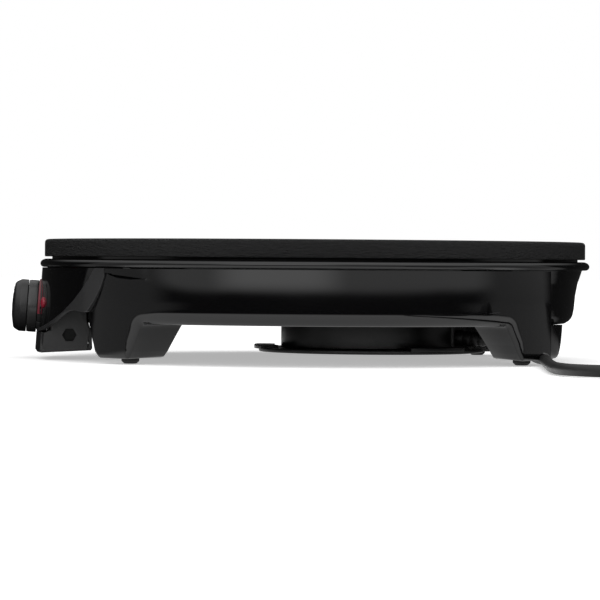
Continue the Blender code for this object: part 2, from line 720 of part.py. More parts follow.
def control_box():
    """Tray that hangs under the fascia: front wall, floor and rear wall."""
    inner = BOX_HALF_WIDTH - BOX_WALL - GAP
    shares = [-1, -0.7, -0.35, 0, 0.35, 0.7, 1]
    rows = []
    for z in (0.0174, 0.0100, 0.0060, 0.0043):
        r = front_radius(z) - (0.0012 if z < 0.005 else 0)
        rows.append([Vector((-math.sqrt(r * r - (s * inner) ** 2), s * inner, z)) for s in shares])
    for x, z in ((-0.165, 0.0049), (BOX_REAR - 0.0010, 0.0059), (BOX_REAR, 0.0072),
                 (BOX_REAR - 0.0004, 0.0160), (BOX_REAR - 0.0026, 0.0238)):
        rows.append([Vector((x, s * inner, z)) for s in shares])
    return sheet("control_box", rows, BOX_WALL, "satin_black")


def side_covers():
    """Flat covers on both sides of the control box, each with a hexagonal screw pocket."""
    outline = [(-0.1757, 0.0076), (-0.1749, 0.0171), (-0.1722, 0.0196), (-0.1708, 0.0240),
               (-0.1697, 0.0300), (-0.1690, 0.0331), (-0.1520, 0.0331), (-0.1480, 0.0300),
               (-0.1480, 0.0245), (-0.1462, 0.0190), (-0.1476, 0.0062), (-0.1650, 0.0052)]
    outline.append((-0.1740, 0.0046))
    pocket = (-0.1588, 0.0157)
    hexagon = [(pocket[0] + 0.0045 * math.cos(math.radians(a)),
                pocket[1] + 0.0039 * math.sin(math.radians(a))) for a in range(0, 360, 60)]
    for name, side in (("box_cover_right", 1), ("box_cover_left", -1)):
        middle = -side * (BOX_HALF_WIDTH - BOX_WALL / 2)
        cover = slab(name, outline, -BOX_WALL / 2, BOX_WALL / 2, "satin_black")
        hole = slab("hex_pocket", hexagon, -0.004, 0.004, "steel")
        for piece in (cover, hole):
            piece.rotation_euler = (math.radians(90), 0, 0)
            piece.location = (0, middle, 0)
        cover, hole = made_solid(cover), made_solid(hole)
        combine(cover, hole, "DIFFERENCE")
        screw = rod(name.replace("cover", "screw"), 0.0030, -0.0030, 0.0030, "steel", sides=12)
        screw.location = (pocket[0], -side * 0.0320, pocket[1])
        screw.rotation_euler = (math.radians(90), 0, 0)


def pilot_lamp():
    turned("pilot_lens", [(0, 0.0020), (0.0014, 0.0018), (0.0026, 0.0013), (0.0034, 0.0004),
                          (0.0034, -0.0040), (0, -0.0040)], "red_lens", steps=20, parent=lens_axis)
    rod("neon_lamp", 0.0022, -0.0135, -0.0043, "lamp_glass", sides=12, parent=lens_axis)


# ---------------------------------------------------------------- knob and thermostat
def knob():
    """Cap, skirt ring and spindle, all turning about the knob's own axis."""
    r = KNOB_RADIUS
    turned("knob_cap", [
        (0, 0.0177), (0.0070, 0.0173), (0.0120, 0.0161), (0.0152, 0.0145), (r - 0.0002, 0.0126),
        (r, 0.0112), (r, 0.0078), (0.0146, 0.0078), (0.0146, 0.0118), (0.0120, 0.0140),
        (0.0056, 0.0148), (0.0056, 0.0014), (0.0034, 0.0014), (0.0034, 0.0116), (0, 0.0116),
    ], "satin_black", steps=36, parent=knob_axis)
    turned("knob_ring", [
        (r - 0.0003, 0.0075), (r, 0.0060), (r, 0.0022), (r - 0.0006, 0.0016), (0.0062, 0.0016),
        (0.0062, 0.0032), (0.0150, 0.0032), (0.0150, 0.0075),
    ], "gloss_black", steps=36, closed=True, parent=knob_axis)
    rod("thermostat_spindle", 0.0030, -0.0095, 0.0112, "brass", parent=knob_axis)


def thermostat():
    plate = block("thermostat_bracket", (0.0300, 0.0400, 0.0012), (0.001, 0, -0.0048), "steel",
                  parent=knob_axis)
    combine(plate, rod("bracket_hole", 0.0050, -0.008, 0.002, "steel", parent=knob_axis), "DIFFERENCE")
    turned("thermostat_bush", [(0.0047, -0.0012), (0.0047, -0.0080), (0.0034, -0.0080),
                               (0.0034, -0.0012)], "brass", steps=20, closed=True, parent=knob_axis)
    body = block("thermostat_body", (0.0270, 0.0300, 0.0142), (0.001, 0, -0.0129), "ceramic",
                 parent=knob_axis)
    inside = block("body_inside", (0.0230, 0.0260, 0.0142), (0.001, 0, -0.0152), "steel",
                   parent=knob_axis)
    combine(body, inside, "DIFFERENCE")
    combine(body, rod("body_hole", 0.0051, -0.012, 0.002, "steel", parent=knob_axis), "DIFFERENCE")
    rod("adjusting_pin", 0.0015, -0.0145, -0.0098, "brass", sides=12, parent=pin_slide)


# ---------------------------------------------------------------- cord reel and mains lead
def cord_reel():
    drum = made_solid(turned("reel_drum", [
        (DRUM_RADIUS, DRUM_TOP), (DRUM_RADIUS, FLANGE_TOP + GAP), (DRUM_RADIUS - 0.0022, FLANGE_TOP + GAP),
        (DRUM_RADIUS - 0.0022, DRUM_TOP - 0.0022), (0.0480, DRUM_TOP - 0.0022), (0.0480, DRUM_TOP),
    ], "reel_black", steps=48, closed=True, location=(REEL_X, 0, 0)))
    heading = math.radians(RELIEF_HEADING)
    boss = block("exit_boss", (0.0060, 0.0130, 0.0150), (0.0875, -0.0269, 0.0168), "reel_black")
    boss.rotation_euler = (0, 0, heading)
    combine(drum, boss, "UNION")
    bore = rod("exit_bore", 0.0054, -0.020, 0.008, "steel", parent=relief_axis)
    combine(drum, bore, "DIFFERENCE")

    flange = made_solid(turned("reel_flange", [
        (0, FLANGE_TOP), (FLANGE_RADIUS - 0.0004, FLANGE_TOP), (FLANGE_RADIUS, FLANGE_TOP - 0.0005),
        (FLANGE_RADIUS, FLANGE_BOTTOM + 0.0005), (FLANGE_RADIUS - 0.0005, FLANGE_BOTTOM),
        (0, FLANGE_BOTTOM),
    ], "reel_black", steps=48, location=(REEL_X, 0, 0)))
    for number, middle in enumerate((180, 60, 0, 300)):
        turn = [math.radians(middle + a) for a in (-16, -8, 0, 8, 16)]
        outline = [(REEL_X + 0.0760 * math.cos(a), 0.0760 * math.sin(a)) for a in turn]
        outline += [(REEL_X + 0.0640 * math.cos(a), 0.0640 * math.sin(a)) for a in reversed(turn)]
        tab = made_solid(slab(f"reel_tab_{number}", outline, FLANGE_TOP - 0.0010, TAB_TOP, "reel_black"))
        combine(flange, tab, "UNION")
    places = [(REEL_X + 0.030 * math.cos(math.radians(a)), 0.030 * math.sin(math.radians(a)))
              for a in (30, 150, 270)]
    posts = rod_group("reel_posts", places, 0.0055, FLANGE_TOP - 0.0010, DRUM_TOP, "reel_black")
    combine(flange, posts, "UNION")
    combine(flange, rod_group("flange_holes", places, 0.0042, 0.004, 0.0105), "DIFFERENCE")
    screw = rod("screw", 0.0037, FLANGE_BOTTOM + 0.0008, 0.0102, "steel", sides=10)
    copies(screw, [f"reel_screw_{number}" for number in (1, 2, 3)], places)


def strain_relief():
    """Tapered, ribbed sleeve on the drum, along the cord's first stretch."""
    profile = [(0.0050, -0.0080), (0.0050, 0.0000)]
    ribs = 5
    first, pitch = 0.0010, (RELIEF_LENGTH - 0.002) / ribs
    outline = []
    for rib in range(ribs):
        radius = blend(0.0052, 0.0043, rib / (ribs - 1))
        start = first + rib * pitch
        outline += [(radius, start), (radius, start + 0.6 * pitch),
                    (radius - 0.0006, start + 0.62 * pitch), (radius - 0.0006, start + 0.98 * pitch)]
    profile = [(0, -0.0080)] + profile + outline + [(0.0040, RELIEF_LENGTH), (0, RELIEF_LENGTH)]
    turned("strain_relief", list(reversed(profile)), "cord_black", steps=12, parent=relief_axis)
    inner = [tuple(relief_axis.matrix_world.translation - RELIEF_AXIS * 0.0083 - Vector((AXIS_X, 0, 0))),
             (0.0760, -0.0210, 0.0158), (0.0680, -0.0175, 0.0168), (0.0600, -0.0140, 0.0195),
             (0.0545, -0.0123, 0.0240), (0.0520, -0.0120, 0.0300), (0.0490, -0.0120, 0.0350),
             (0.0430, -0.0120, 0.0375), (0.0330, -0.0120, 0.0380)]
    tube("inner_cord", smooth_route(inner, 0.007), CORD_RADIUS, "cord_black")
    block("cord_clamp", (0.0070, 0.0200, 0.0025), (0.0400, -0.0120, 0.0434), "reel_black")


def mains_cord():
    start = relief_axis.matrix_world.translation + RELIEF_AXIS * (RELIEF_LENGTH + GAP)
    start -= Vector((AXIS_X, 0, 0))
    route = [tuple(start), tuple(start + RELIEF_AXIS * 0.006)] + CORD_ROUTE
    tube("mains_cord", smooth_route(route, 0.0085), CORD_RADIUS, "cord_black", sides=2)
    turned("cord_coil", [
        (COIL_OUTER - 0.0030, COIL_HEIGHT), (COIL_OUTER, COIL_HEIGHT - 0.0060), (COIL_OUTER, 0.0023),
        (COIL_OUTER - 0.0020, GAP), (COIL_INNER + 0.0020, GAP), (COIL_INNER, 0.0023),
        (COIL_INNER, COIL_HEIGHT - 0.0060), (COIL_INNER + 0.0030, COIL_HEIGHT),
    ], "cord_black", steps=36, closed=True, location=(*COIL_CENTRE, 0))


def mains_plug():
    """Round plug with a grip and two pins, lying on its side."""
    body = turned("plug_body", [
        (0, 0.0560), (0.0165, 0.0560), (PLUG_RADIUS - 0.0006, 0.0545), (PLUG_RADIUS, 0.0525),
        (PLUG_RADIUS, 0.0420), (0.0150, 0.0350), (0.0115, 0.0250), (0.0085, 0.0130),
        (0.0050, 0.0020), (0.0040, 0.0000), (0, 0.0000),
    ], "cord_black", steps=28)
    lying = make_empty("plug_axis", plate_axis, PLUG_START)
    lying.rotation_euler = (math.radians(PLUG_RISE - 90), 0, 0)
    body.parent = lying
    for name, across in (("plug_pin_left", -0.0095), ("plug_pin_right", 0.0095)):
        rod(name, 0.0024, 0.0560 + GAP, 0.0750, "steel", 12, lying, (across, 0, 0))


# ---------------------------------------------------------------- wiring inside
def wiring():
    block("terminal_block", (0.0200, 0.0320, 0.0130), (0.0200, -0.0120, 0.0380), "ceramic")
    live = [(0.0095, -0.020, 0.040), (-0.004, -0.022, 0.040), (-0.030, -0.026, 0.036),
            (-0.070, -0.024, 0.034), (-0.110, -0.014, 0.036), (-0.134, -0.004, 0.044),
            (-0.146, -0.003, 0.0425), (-0.1545, -0.003, 0.0400)]
    neutral = [(0.0095, -0.012, 0.040), (-0.005, -0.012, 0.041), (-0.040, -0.010, 0.040),
               (-0.080, 0.004, 0.037), (-0.104, 0.014, 0.0365), (-0.1120, 0.0165, 0.0375)]
    switched = [(-0.1545, 0.003, 0.0400), (-0.146, 0.003, 0.0425), (-0.137, -0.002, 0.0395),
                (-0.125, -0.012, 0.0365), (-0.117, -0.0165, 0.0365), (-0.1130, -0.0165, 0.0390)]
    earth = [(0.0200, 0.0045, 0.040), (0.0203, 0.0070, 0.0403), (0.025, 0.014, 0.042), (0.045, 0.020, 0.046),
             (0.080, 0.014, 0.0500), (0.106, 0.003, 0.0505), (0.1150, 0.001, 0.0505)]
    for name, route, material in (("wire_live", live, "wire_brown"), ("wire_neutral", neutral, "wire_blue"),
                                  ("wire_switched", switched, "wire_brown"),
                                  ("wire_earth", earth, "wire_green")):
        tube(name, smooth_route(route, 0.010), 0.0012, material, sides=1)


# ---------------------------------------------------------------- assembly
clear_scene()
PARTS = make_collection("hot_plate")
CUTTERS = make_collection("cutters")
make_materials()

plate_axis = make_empty("plate_axis", location=(AXIS_X, 0, 0))

front_lean = math.atan(LEAN)
outward = math.radians(-90)
knob_axis = make_empty("knob_axis", plate_axis,
                       (-(front_radius(KNOB_HEIGHT) - FASCIA_RECESS), 0, KNOB_HEIGHT))
knob_axis.rotation_euler = (0, outward + front_lean, 0)
pin_slide = make_empty("pin_slide", knob_axis)

LENS_ANGLE, LENS_HEIGHT = 10.2, 0.0362
lens_axis = make_empty("lens_axis", plate_axis,
                       polar(front_radius(LENS_HEIGHT) - FASCIA_RECESS, LENS_ANGLE, LENS_HEIGHT))
lens_axis.rotation_euler = (0, outward + front_lean, math.radians(LENS_ANGLE))

relief_turn = math.radians(RELIEF_HEADING)
RELIEF_AXIS = Vector((math.cos(relief_turn), math.sin(relief_turn), -RELIEF_DROP)).normalized()
relief_axis = make_empty("relief_axis", plate_axis, RELIEF_START)
relief_axis.rotation_mode = "QUATERNION"
relief_axis.rotation_quaternion = RELIEF_AXIS.to_track_quat("Z", "Y")
bpy.context.view_layer.update()

cooking_plate()
heating_element()
element_clamps()
heat_shield()
plate_studs()
sensing_parts()
base_pan()
base_cover()
side_shells()
rubber_feet()
front_frame()
fascia_panel()
control_box()
side_covers()
pilot_lamp()
knob()
thermostat()
cord_reel()
strain_relief()
mains_cord()
mains_plug()
wiring()
for part in PARTS.objects:
    if part.type == "MESH":
        smooth(part)
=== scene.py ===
"""Looks of the round electric hot plate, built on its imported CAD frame.

Metres, +Z up, the table at Z = 0, -X towards the user. Angles are in degrees round the plate's
axis from the front centre, growing towards -Y, which is the side that the camera sees. An
outline's points are (radius or X, height), and a third number is how far the corner is rounded.
"""
import math

import bmesh
import bpy
from mathutils import Matrix, Vector


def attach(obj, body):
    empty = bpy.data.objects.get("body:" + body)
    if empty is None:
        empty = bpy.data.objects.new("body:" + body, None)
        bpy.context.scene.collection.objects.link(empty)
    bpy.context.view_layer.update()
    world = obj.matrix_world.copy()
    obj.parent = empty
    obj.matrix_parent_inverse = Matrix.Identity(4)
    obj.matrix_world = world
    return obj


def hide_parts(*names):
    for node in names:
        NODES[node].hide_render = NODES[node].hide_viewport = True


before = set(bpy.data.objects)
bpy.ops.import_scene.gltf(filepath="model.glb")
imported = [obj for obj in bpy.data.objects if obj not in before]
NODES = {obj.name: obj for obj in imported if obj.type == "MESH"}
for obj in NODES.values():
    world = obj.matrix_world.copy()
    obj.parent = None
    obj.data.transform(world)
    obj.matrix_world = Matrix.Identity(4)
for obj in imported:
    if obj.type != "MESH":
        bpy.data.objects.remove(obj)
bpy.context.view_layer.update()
GAP = 0.0003  # between pieces that must not touch
HAIR = 0.0001  # keeps a section's points apart
AXIS = 0.0095  # X of the plate's axis
PLATE_RADIUS = 0.175
PLATE_TOP = 0.0767
HANDS = (("right", 1), ("left", -1))  # the right is the camera's side


# --- camera
def make_camera():
    """Eye level just above the plate, on the user's right hand side, far away."""
    turn, drop, pan, roll = (math.radians(a) for a in (4.5, 0.7114, 0.2724, 0.407))
    distance, eye_height = 1.99, 0.063
    forward = Vector((math.sin(turn), math.cos(turn), 0))
    right = Vector((math.cos(turn), -math.sin(turn), 0))
    up = Vector((0, 0, 1))
    aim = (forward - right * math.tan(pan) - up * math.tan(drop)).normalized()
    level = (right - aim * right.dot(aim)).normalized()
    upright = level.cross(aim)
    side = level * math.cos(roll) + upright * math.sin(roll)
    top = upright * math.cos(roll) - level * math.sin(roll)
    camera = bpy.data.objects.new("camera", bpy.data.cameras.new("camera"))
    camera.data.lens = 183.6
    camera.data.sensor_width = 36
    camera.data.clip_start, camera.data.clip_end = 0.05, 60
    place = Vector((AXIS, 0, eye_height)) - forward * distance
    turned = Matrix((side, top, -aim)).transposed().to_4x4()
    camera.matrix_world = Matrix.Translation(place) @ turned
    bpy.context.scene.collection.objects.link(camera)
    bpy.context.scene.camera = camera


make_camera()


# --- material helpers
NOISE_LOW, NOISE_HIGH = 0.3, 0.7  # most of a noise's values lie between these


class Net:
    """Short way of adding nodes to a material or the world."""

    def __init__(self, tree):
        self.tree = tree
        self.shader = tree.nodes.get("Principled BSDF")

    def node(self, kind, inputs=(), **settings):
        made = self.tree.nodes.new("ShaderNode" + kind)
        for key, value in settings.items():
            setattr(made, key, value)
        for key, value in dict(inputs).items():
            socket = made.inputs[key]
            if isinstance(value, bpy.types.NodeSocket):
                self.tree.links.new(value, socket)
            else:
                socket.default_value = value
        return made

    def place(self, scale=(1, 1, 1)):
        """The object's own coordinates, stretched."""
        coords = self.node("TexCoord")
        return self.node("Mapping", {"Vector": coords.outputs["Object"], "Scale": scale}).outputs[0]

    def round_place(self, squeeze):
        """(arc length, height, radius) about the plate's axis, so that marks can run round it."""
        coords = self.node("TexCoord")
        moved = self.node("Mapping", {"Vector": coords.outputs["Object"], "Location": (-AXIS, 0, 0)})
        x, y, z = self.node("SeparateXYZ", {0: moved.outputs[0]}).outputs
        flat = self.node("CombineXYZ", {0: x, 1: y})
        radius = self.node("VectorMath", {0: flat.outputs[0]}, operation="LENGTH").outputs["Value"]
        around = self.math("MULTIPLY", self.math("ARCTAN2", y, x), PLATE_RADIUS)
        height = self.math("MULTIPLY", z, squeeze)
        outward = self.math("MULTIPLY", radius, squeeze)
        return self.node("CombineXYZ", {0: around, 1: height, 2: outward}).outputs[0]

    def math(self, operation, a, b=0.0):
        return self.node("Math", {0: a, 1: b}, operation=operation).outputs[0]

    def product(self, a, b):
        return self.math("MULTIPLY", a, b)

    def dot(self, a, b):
        return self.node("VectorMath", {0: a, 1: b}, operation="DOT_PRODUCT").outputs["Value"]

    def noise(self, vector, scale, detail=4.0, roughness=0.5):
        return self.node("TexNoise", {"Vector": vector, "Scale": scale, "Detail": detail,
                                      "Roughness": roughness}).outputs["Fac"]

    def ramp(self, value, low, high, start=0.0, end=1.0, kind="LINEAR"):
        """Value between two limits, mapped to a range."""
        return self.node("MapRange", {"Value": value, "From Min": low, "From Max": high, "To Min": start,
                                      "To Max": end}, interpolation_type=kind).outputs[0]

    def soft_step(self, value, low, high, start=0.0, end=1.0):
        return self.ramp(value, low, high, start, end, "SMOOTHSTEP")

    def spread(self, noise, start, end):
        """A noise's usual values, mapped to a range."""
        return self.ramp(noise, NOISE_LOW, NOISE_HIGH, start, end)

    def mix(self, share, a, b):
        return self.node("Mix", {0: share, 2: a, 3: b}, data_type="FLOAT").outputs[0]

    def colour(self, share, dark, light):
        return self.node("Mix", {0: share, 6: (*dark, 1), 7: (*light, 1)}, data_type="RGBA").outputs[2]

    def to(self, socket, output):
        self.tree.links.new(output, self.shader.inputs[socket])

    def bump(self, height, strength, distance):
        made = self.node("Bump", {"Height": height, "Strength": strength, "Distance": distance})
        self.to("Normal", made.outputs[0])

    def vary(self, colour, roughness, scale, less, more, darker, lighter):
        """Lets the colour and the roughness wander, with a broad noise, which is returned."""
        broad = self.noise(self.place(), scale)
        self.to("Roughness", self.spread(broad, roughness - less, roughness + more))
        dark, light = (tuple(c * share for c in colour) for share in (darker, lighter))
        self.to("Base Color", self.colour(broad, dark, light))
        return broad


def new_material(name, colour, roughness, metallic=0.0, **sockets):
    """A material with its shader's even values set, and the net that adds its nodes."""
    material = bpy.data.materials.new(name)
    material.use_nodes = True
    net = Net(material.node_tree)
    even = {"Base Color": (*colour, 1), "Roughness": roughness, "Metallic": metallic, **sockets}
    for socket, value in even.items():
        net.shader.inputs[socket].default_value = value
    return material, net


# --- materials
def gloss_black():
    """Polished moulded plastic: faint haze, slight waviness of the moulding, a little dust."""
    black = (0.002, 0.002, 0.0022)
    material, net = new_material("gloss_black", black, 0.06, IOR=1.5)
    place = net.place()
    haze = net.spread(net.noise(place, 14, 5, 0.6), 0.045, 0.075)
    dust = net.ramp(net.noise(place, 900, 2), 0.74, 0.82, 0, 0.2)
    net.to("Roughness", net.math("ADD", haze, dust))
    net.to("Base Color", net.colour(dust, black, (0.02, 0.02, 0.02)))
    net.bump(net.noise(place, 22, 1), 0.12, 0.0012)
    return material


def satin_black(name="satin_black", roughness=0.3, tint=(0.005, 0.005, 0.0055)):
    """Fine spark-eroded moulding texture on dark plastic."""
    material, net = new_material(name, tint, roughness, IOR=1.5)
    net.vary(tint, roughness, 30, 0.05, 0.06, 0.8, 1.25)
    net.bump(net.noise(net.place(), 3200, 2, 0.6), 0.25, 0.00008)
    return material


def plate_coating():
    """Dark coating with fine pimples and short streaks that run round the plate."""
    material, net = new_material("plate_coating", (0.004, 0.004, 0.0044), 0.5, IOR=1.36)
    streaks = net.noise(net.round_place(5.0), 210, 5, 0.62)
    pimples = net.noise(net.place(), 1900, 3, 0.6)
    blotches = net.spread(net.noise(net.place(), 26), 0.28, 0.4)
    polish = net.ramp(streaks, 0.4, 0.7, 0.07, -0.07)
    net.to("Roughness", net.math("ADD", blotches, polish))
    net.to("Base Color", net.colour(streaks, (0.003, 0.003, 0.0032), (0.006, 0.006, 0.0065)))
    net.bump(net.math("ADD", net.product(streaks, 0.9), net.product(pimples, 0.25)), 1.0, 0.0026)
    return material


def rubber(name="rubber", roughness=0.62, tint=(0.014, 0.014, 0.014)):
    """Matt elastomer with a fine grain."""
    material, net = new_material(name, tint, roughness, IOR=1.45)
    net.vary(tint, roughness, 60, 0.08, 0.08, 0.8, 1.4)
    net.bump(net.noise(net.place(), 2600, 2), 0.2, 0.00006)
    return material


def red_lens():
    """Tinted plastic that glows very faintly, so that it doesn't go black in the shade."""
    material, net = new_material("red_lens", (0.22, 0.006, 0.02), 0.12, **{
        "IOR": 1.49, "Emission Color": (0.8, 0.02, 0.05, 1), "Emission Strength": 0.03})
    shade = net.noise(net.place(), 240, 2)
    net.to("Base Color", net.colour(shade, (0.16, 0.004, 0.014), (0.28, 0.008, 0.03)))
    net.bump(shade, 0.1, 0.0001)
    return material


def metal(name, colour, roughness):
    """Bare metal with drawing lines and duller spots."""
    material, net = new_material(name, colour, roughness, 1.0)
    net.vary(colour, roughness, 45, 0.08, 0.1, 0.75, 1.0)
    net.bump(net.noise(net.place((1, 1, 6)), 900, 3), 0.15, 0.00005)
    return material


def plain(name, colour, roughness, scale=400, strength=0.15):
    """Ceramic, glass, print and wire insulation: small things with faint spots."""
    material, net = new_material(name, colour, roughness)
    spots = net.vary(colour, roughness, scale, 0.06, 0.08, 0.8, 1.0)
    net.bump(spots, strength, 0.0001)
    return material


def heat_wedge():
    """Printed scale, pale at its low end and red at its high end, which is on the user's right."""
    material, net = new_material("heat_wedge", (0.5, 0.05, 0.06), 0.45)
    reach = 0.018
    y = net.node("SeparateXYZ", {0: net.node("TexCoord").outputs["Object"]}).outputs[1]
    ink = net.spread(net.noise(net.place(), 600), -0.04, 0.04)
    share = net.math("ADD", net.ramp(y, reach, -reach), ink)
    net.to("Base Color", net.colour(share, (0.1, 0.098, 0.09), (0.16, 0.008, 0.02)))
    return material


MAT = {
    "plate": plate_coating(),
    "gloss": gloss_black(),
    "satin": satin_black(),
    "frame": satin_black("frame_black", 0.4, (0.016, 0.016, 0.0165)),
    "cover": satin_black("cover_black", 0.34, (0.01, 0.01, 0.0105)),
    # Darker than the cover: painted shade in the hexagonal pocket, and matt.
    "pocket": satin_black("pocket_painted_shade", 0.75, (0.002, 0.002, 0.002)),
    "knob": satin_black("knob_black", 0.3, (0.006, 0.006, 0.0065)),
    "skirt": satin_black("skirt_black", 0.22, (0.022, 0.022, 0.022)),
    "print": plain("pointer_white", (0.72, 0.72, 0.7), 0.45),
    "wedge": heat_wedge(),
    "dark_steel": metal("dark_steel", (0.05, 0.05, 0.05), 0.45),
    "reel": satin_black("reel_black", 0.34, (0.0015, 0.0015, 0.0018)),
    "rubber": rubber(),
    "cord": rubber("cord_rubber", 0.42, (0.01, 0.01, 0.01)),
    "lens": red_lens(),
    "steel": metal("steel", (0.55, 0.55, 0.56), 0.34),
    "element": metal("element_steel", (0.16, 0.15, 0.15), 0.5),
    "aluminium": metal("aluminium", (0.72, 0.73, 0.74), 0.38),
    "brass": metal("brass", (0.72, 0.52, 0.2), 0.32),
    "ceramic": plain("ceramic", (0.8, 0.77, 0.7), 0.6),
    "lamp": plain("lamp_glass", (0.75, 0.45, 0.3), 0.15, 200, 0.02),
    "brown": plain("wire_brown", (0.14, 0.05, 0.025), 0.45),
    "blue": plain("wire_blue", (0.04, 0.1, 0.42), 0.45),
    "green": plain("wire_green", (0.18, 0.45, 0.07), 0.45),
}


# --- mesh helpers
SHARP = 40  # an edge that turns by more degrees than this looks sharp
NIL = 1e-7  # a shorter length counts as none


def link(obj, material, body="body", replaces=()):
    """Puts a piece in the scene, on its body, in place of the CAD nodes that it replaces."""
    if not obj.users_collection:
        bpy.context.scene.collection.objects.link(obj)
    obj.data.materials.clear()
    obj.data.materials.append(MAT[material])
    if replaces:
        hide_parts(*replaces)
    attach(obj, body)
    return obj


def tidy(mesh, sharp=SHARP):
    """Welds the mesh, turns its faces outwards and shades it smoothly up to the sharp angle."""
    shape = bmesh.new()
    shape.from_mesh(mesh)
    bmesh.ops.remove_doubles(shape, verts=shape.verts, dist=NIL)
    bmesh.ops.recalc_face_normals(shape, faces=shape.faces)
    shape.to_mesh(mesh)
    shape.free()
    mesh.shade_smooth()
    mesh.set_sharp_from_angle(angle=math.radians(sharp))


def mesh_object(name, points, faces, sharp=SHARP):
    mesh = bpy.data.meshes.new(name)
    mesh.from_pydata([tuple(p) for p in points], [], faces)
    tidy(mesh, sharp)
    return bpy.data.objects.new(name, mesh)


def pol(radius, angle, z, side=1):
    """A point at an angle from the front centre. Side 1 is the camera's side."""
    a = math.radians(angle)
    return Vector((AXIS - radius * math.cos(a), -side * radius * math.sin(a), z))


def blend(low, high, share):
    return low + (high - low) * share


def along(value, stops):
    """Piecewise linear reading of a table of (position, value) stops."""
    if value <= stops[0][0]:
        return stops[0][1]
    for (x0, y0), (x1, y1) in zip(stops, stops[1:]):
        if value <= x1:
            return blend(y0, y1, (value - x0) / (x1 - x0))
    return stops[-1][1]


def smoothed(value, stops, window):
    """A table's piecewise linear reading with its kinks rounded off."""
    shifts = [window * (i / 4 - 1) for i in range(9)]
    return sum(along(value + shift, stops) for shift in shifts) / len(shifts)


def arc(centre, radii, angles):
    """Points on an ellipse at the given angles."""
    (x, z), (wide, tall) = centre, radii
    turns = [math.radians(angle) for angle in angles]
    return [Vector((x + wide * math.cos(a), z + tall * math.sin(a))) for a in turns]


def round_corner(before, here, after, radius, limit, pieces):
    """(way, point) along the curve that rounds a corner off. The way grows from minus the share
    that it takes of the side before the corner to the share that it takes of the side after it."""
    back, ahead = before - here, after - here
    reach = min(radius / math.tan(back.angle(ahead) / 2), back.length * limit, ahead.length * limit)
    if reach < NIL:
        return [(0.0, here)]
    start, end = here + back.normalized() * reach, here + ahead.normalized() * reach
    curve = []
    for t in (step / pieces for step in range(pieces + 1)):
        point = start * (1 - t) ** 2 + here * 2 * t * (1 - t) + end * t * t
        curve.append((blend(-reach / back.length, reach / ahead.length, t), point))
    return curve


def rounded(corners, closed=True, pieces=4):
    """Outline with each corner (a, b, radius) rounded off."""
    made = []
    spots = [Vector(corner[:2]) for corner in corners]
    ends = () if closed else (0, len(spots) - 1)
    for i, here in enumerate(spots):
        radius = 0 if i in ends else corners[i][2]
        after = spots[(i + 1) % len(spots)]
        made += [point for _, point in round_corner(spots[i - 1], here, after, radius, 0.49, pieces)]
    return made


def lathe(name, outline, steps=96, place=None, first=0.0, last=360.0):
    """Body turned from an outline of (radius, height) points. A point on the axis is shared."""
    place = place or Matrix.Translation((AXIS, 0, 0))
    whole = last - first >= 359.9
    columns = steps if whole else steps + 1
    points, rings = [], []
    for radius, height in outline:
        if radius < NIL:
            rings.append([len(points)] * columns)
            points.append(place @ Vector((0, 0, height)))
            continue
        rings.append([len(points) + step for step in range(columns)])
        for step in range(columns):
            a = math.radians(first + (last - first) * step / steps)
            points.append(place @ Vector((-radius * math.cos(a), -radius * math.sin(a), height)))
    faces = []
    solid = outline[0][0] < NIL and outline[-1][0] < NIL
    pairs = list(zip(rings, rings[1:])) + ([] if solid else [(rings[-1], rings[0])])
    for one, two in pairs:
        for step in range(steps):
            after = (step + 1) % columns
            corners = list(dict.fromkeys((one[step], one[after], two[after], two[step])))
            if len(corners) > 2:
                faces.append(corners)
    if not whole:
        faces.append([ring[0] for ring in rings])
        faces.append([ring[-1] for ring in rings])
    return mesh_object(name, points, faces)


def loft(name, sections, sharp=SHARP, ring=False):
    """Closed body through sections with the same number of corners. A ring has no ends."""
    points, faces = [], []
    wide, count = len(sections[0]), len(sections)
    for section in sections:
        points += list(section)
    for row in range(count if ring else count - 1):
        here, ahead = row * wide, (row + 1) % count * wide
        for i in range(wide):
            j = (i + 1) % wide
            faces.append([here + i, here + j, ahead + j, ahead + i])
    if not ring:
        faces.append(list(range(wide)))
        faces.append([(count - 1) * wide + i for i in range(wide)])
    return mesh_object(name, points, faces, sharp)


def bevelled(obj, width, segments=3, angle=SHARP):
    bevel = obj.modifiers.new("edges", "BEVEL")
    bevel.width = width
    bevel.segments = segments
    bevel.limit_method = "ANGLE"
    bevel.angle_limit = math.radians(angle)
    return obj


def joined(name, parts):
    """One mesh object out of several closed ones."""
    shape = bmesh.new()
    for part in parts:
        shape.from_mesh(part.data)
        mesh = part.data
        bpy.data.objects.remove(part)
        bpy.data.meshes.remove(mesh)
    mesh = bpy.data.meshes.new(name)
    shape.to_mesh(mesh)
    shape.free()
    tidy(mesh)
    return bpy.data.objects.new(name, mesh)


def cut(obj, cutter):
    """The object without what lies inside the cutter."""
    for piece in (obj, cutter):
        bpy.context.scene.collection.objects.link(piece)
    take = obj.modifiers.new("cut", "BOOLEAN")
    take.operation = "DIFFERENCE"
    take.object = cutter
    take.solver = "MANIFOLD"
    bpy.context.view_layer.update()
    mesh = bpy.data.meshes.new_from_object(obj.evaluated_get(bpy.context.evaluated_depsgraph_get()))
    obj.modifiers.clear()
    obj.data = mesh
    bpy.data.objects.remove(cutter)
    tidy(mesh)
    return obj


def refined(node, material, edge):
    """The CAD node's own shape with smooth shading and its edges rounded."""
    sharp = 35
    mesh = NODES[node].data.copy()
    tidy(mesh, sharp)
    piece = bevelled(bpy.data.objects.new(node + "_fine", mesh), edge, 2, sharp)
    return link(piece, material, replaces=(node,))


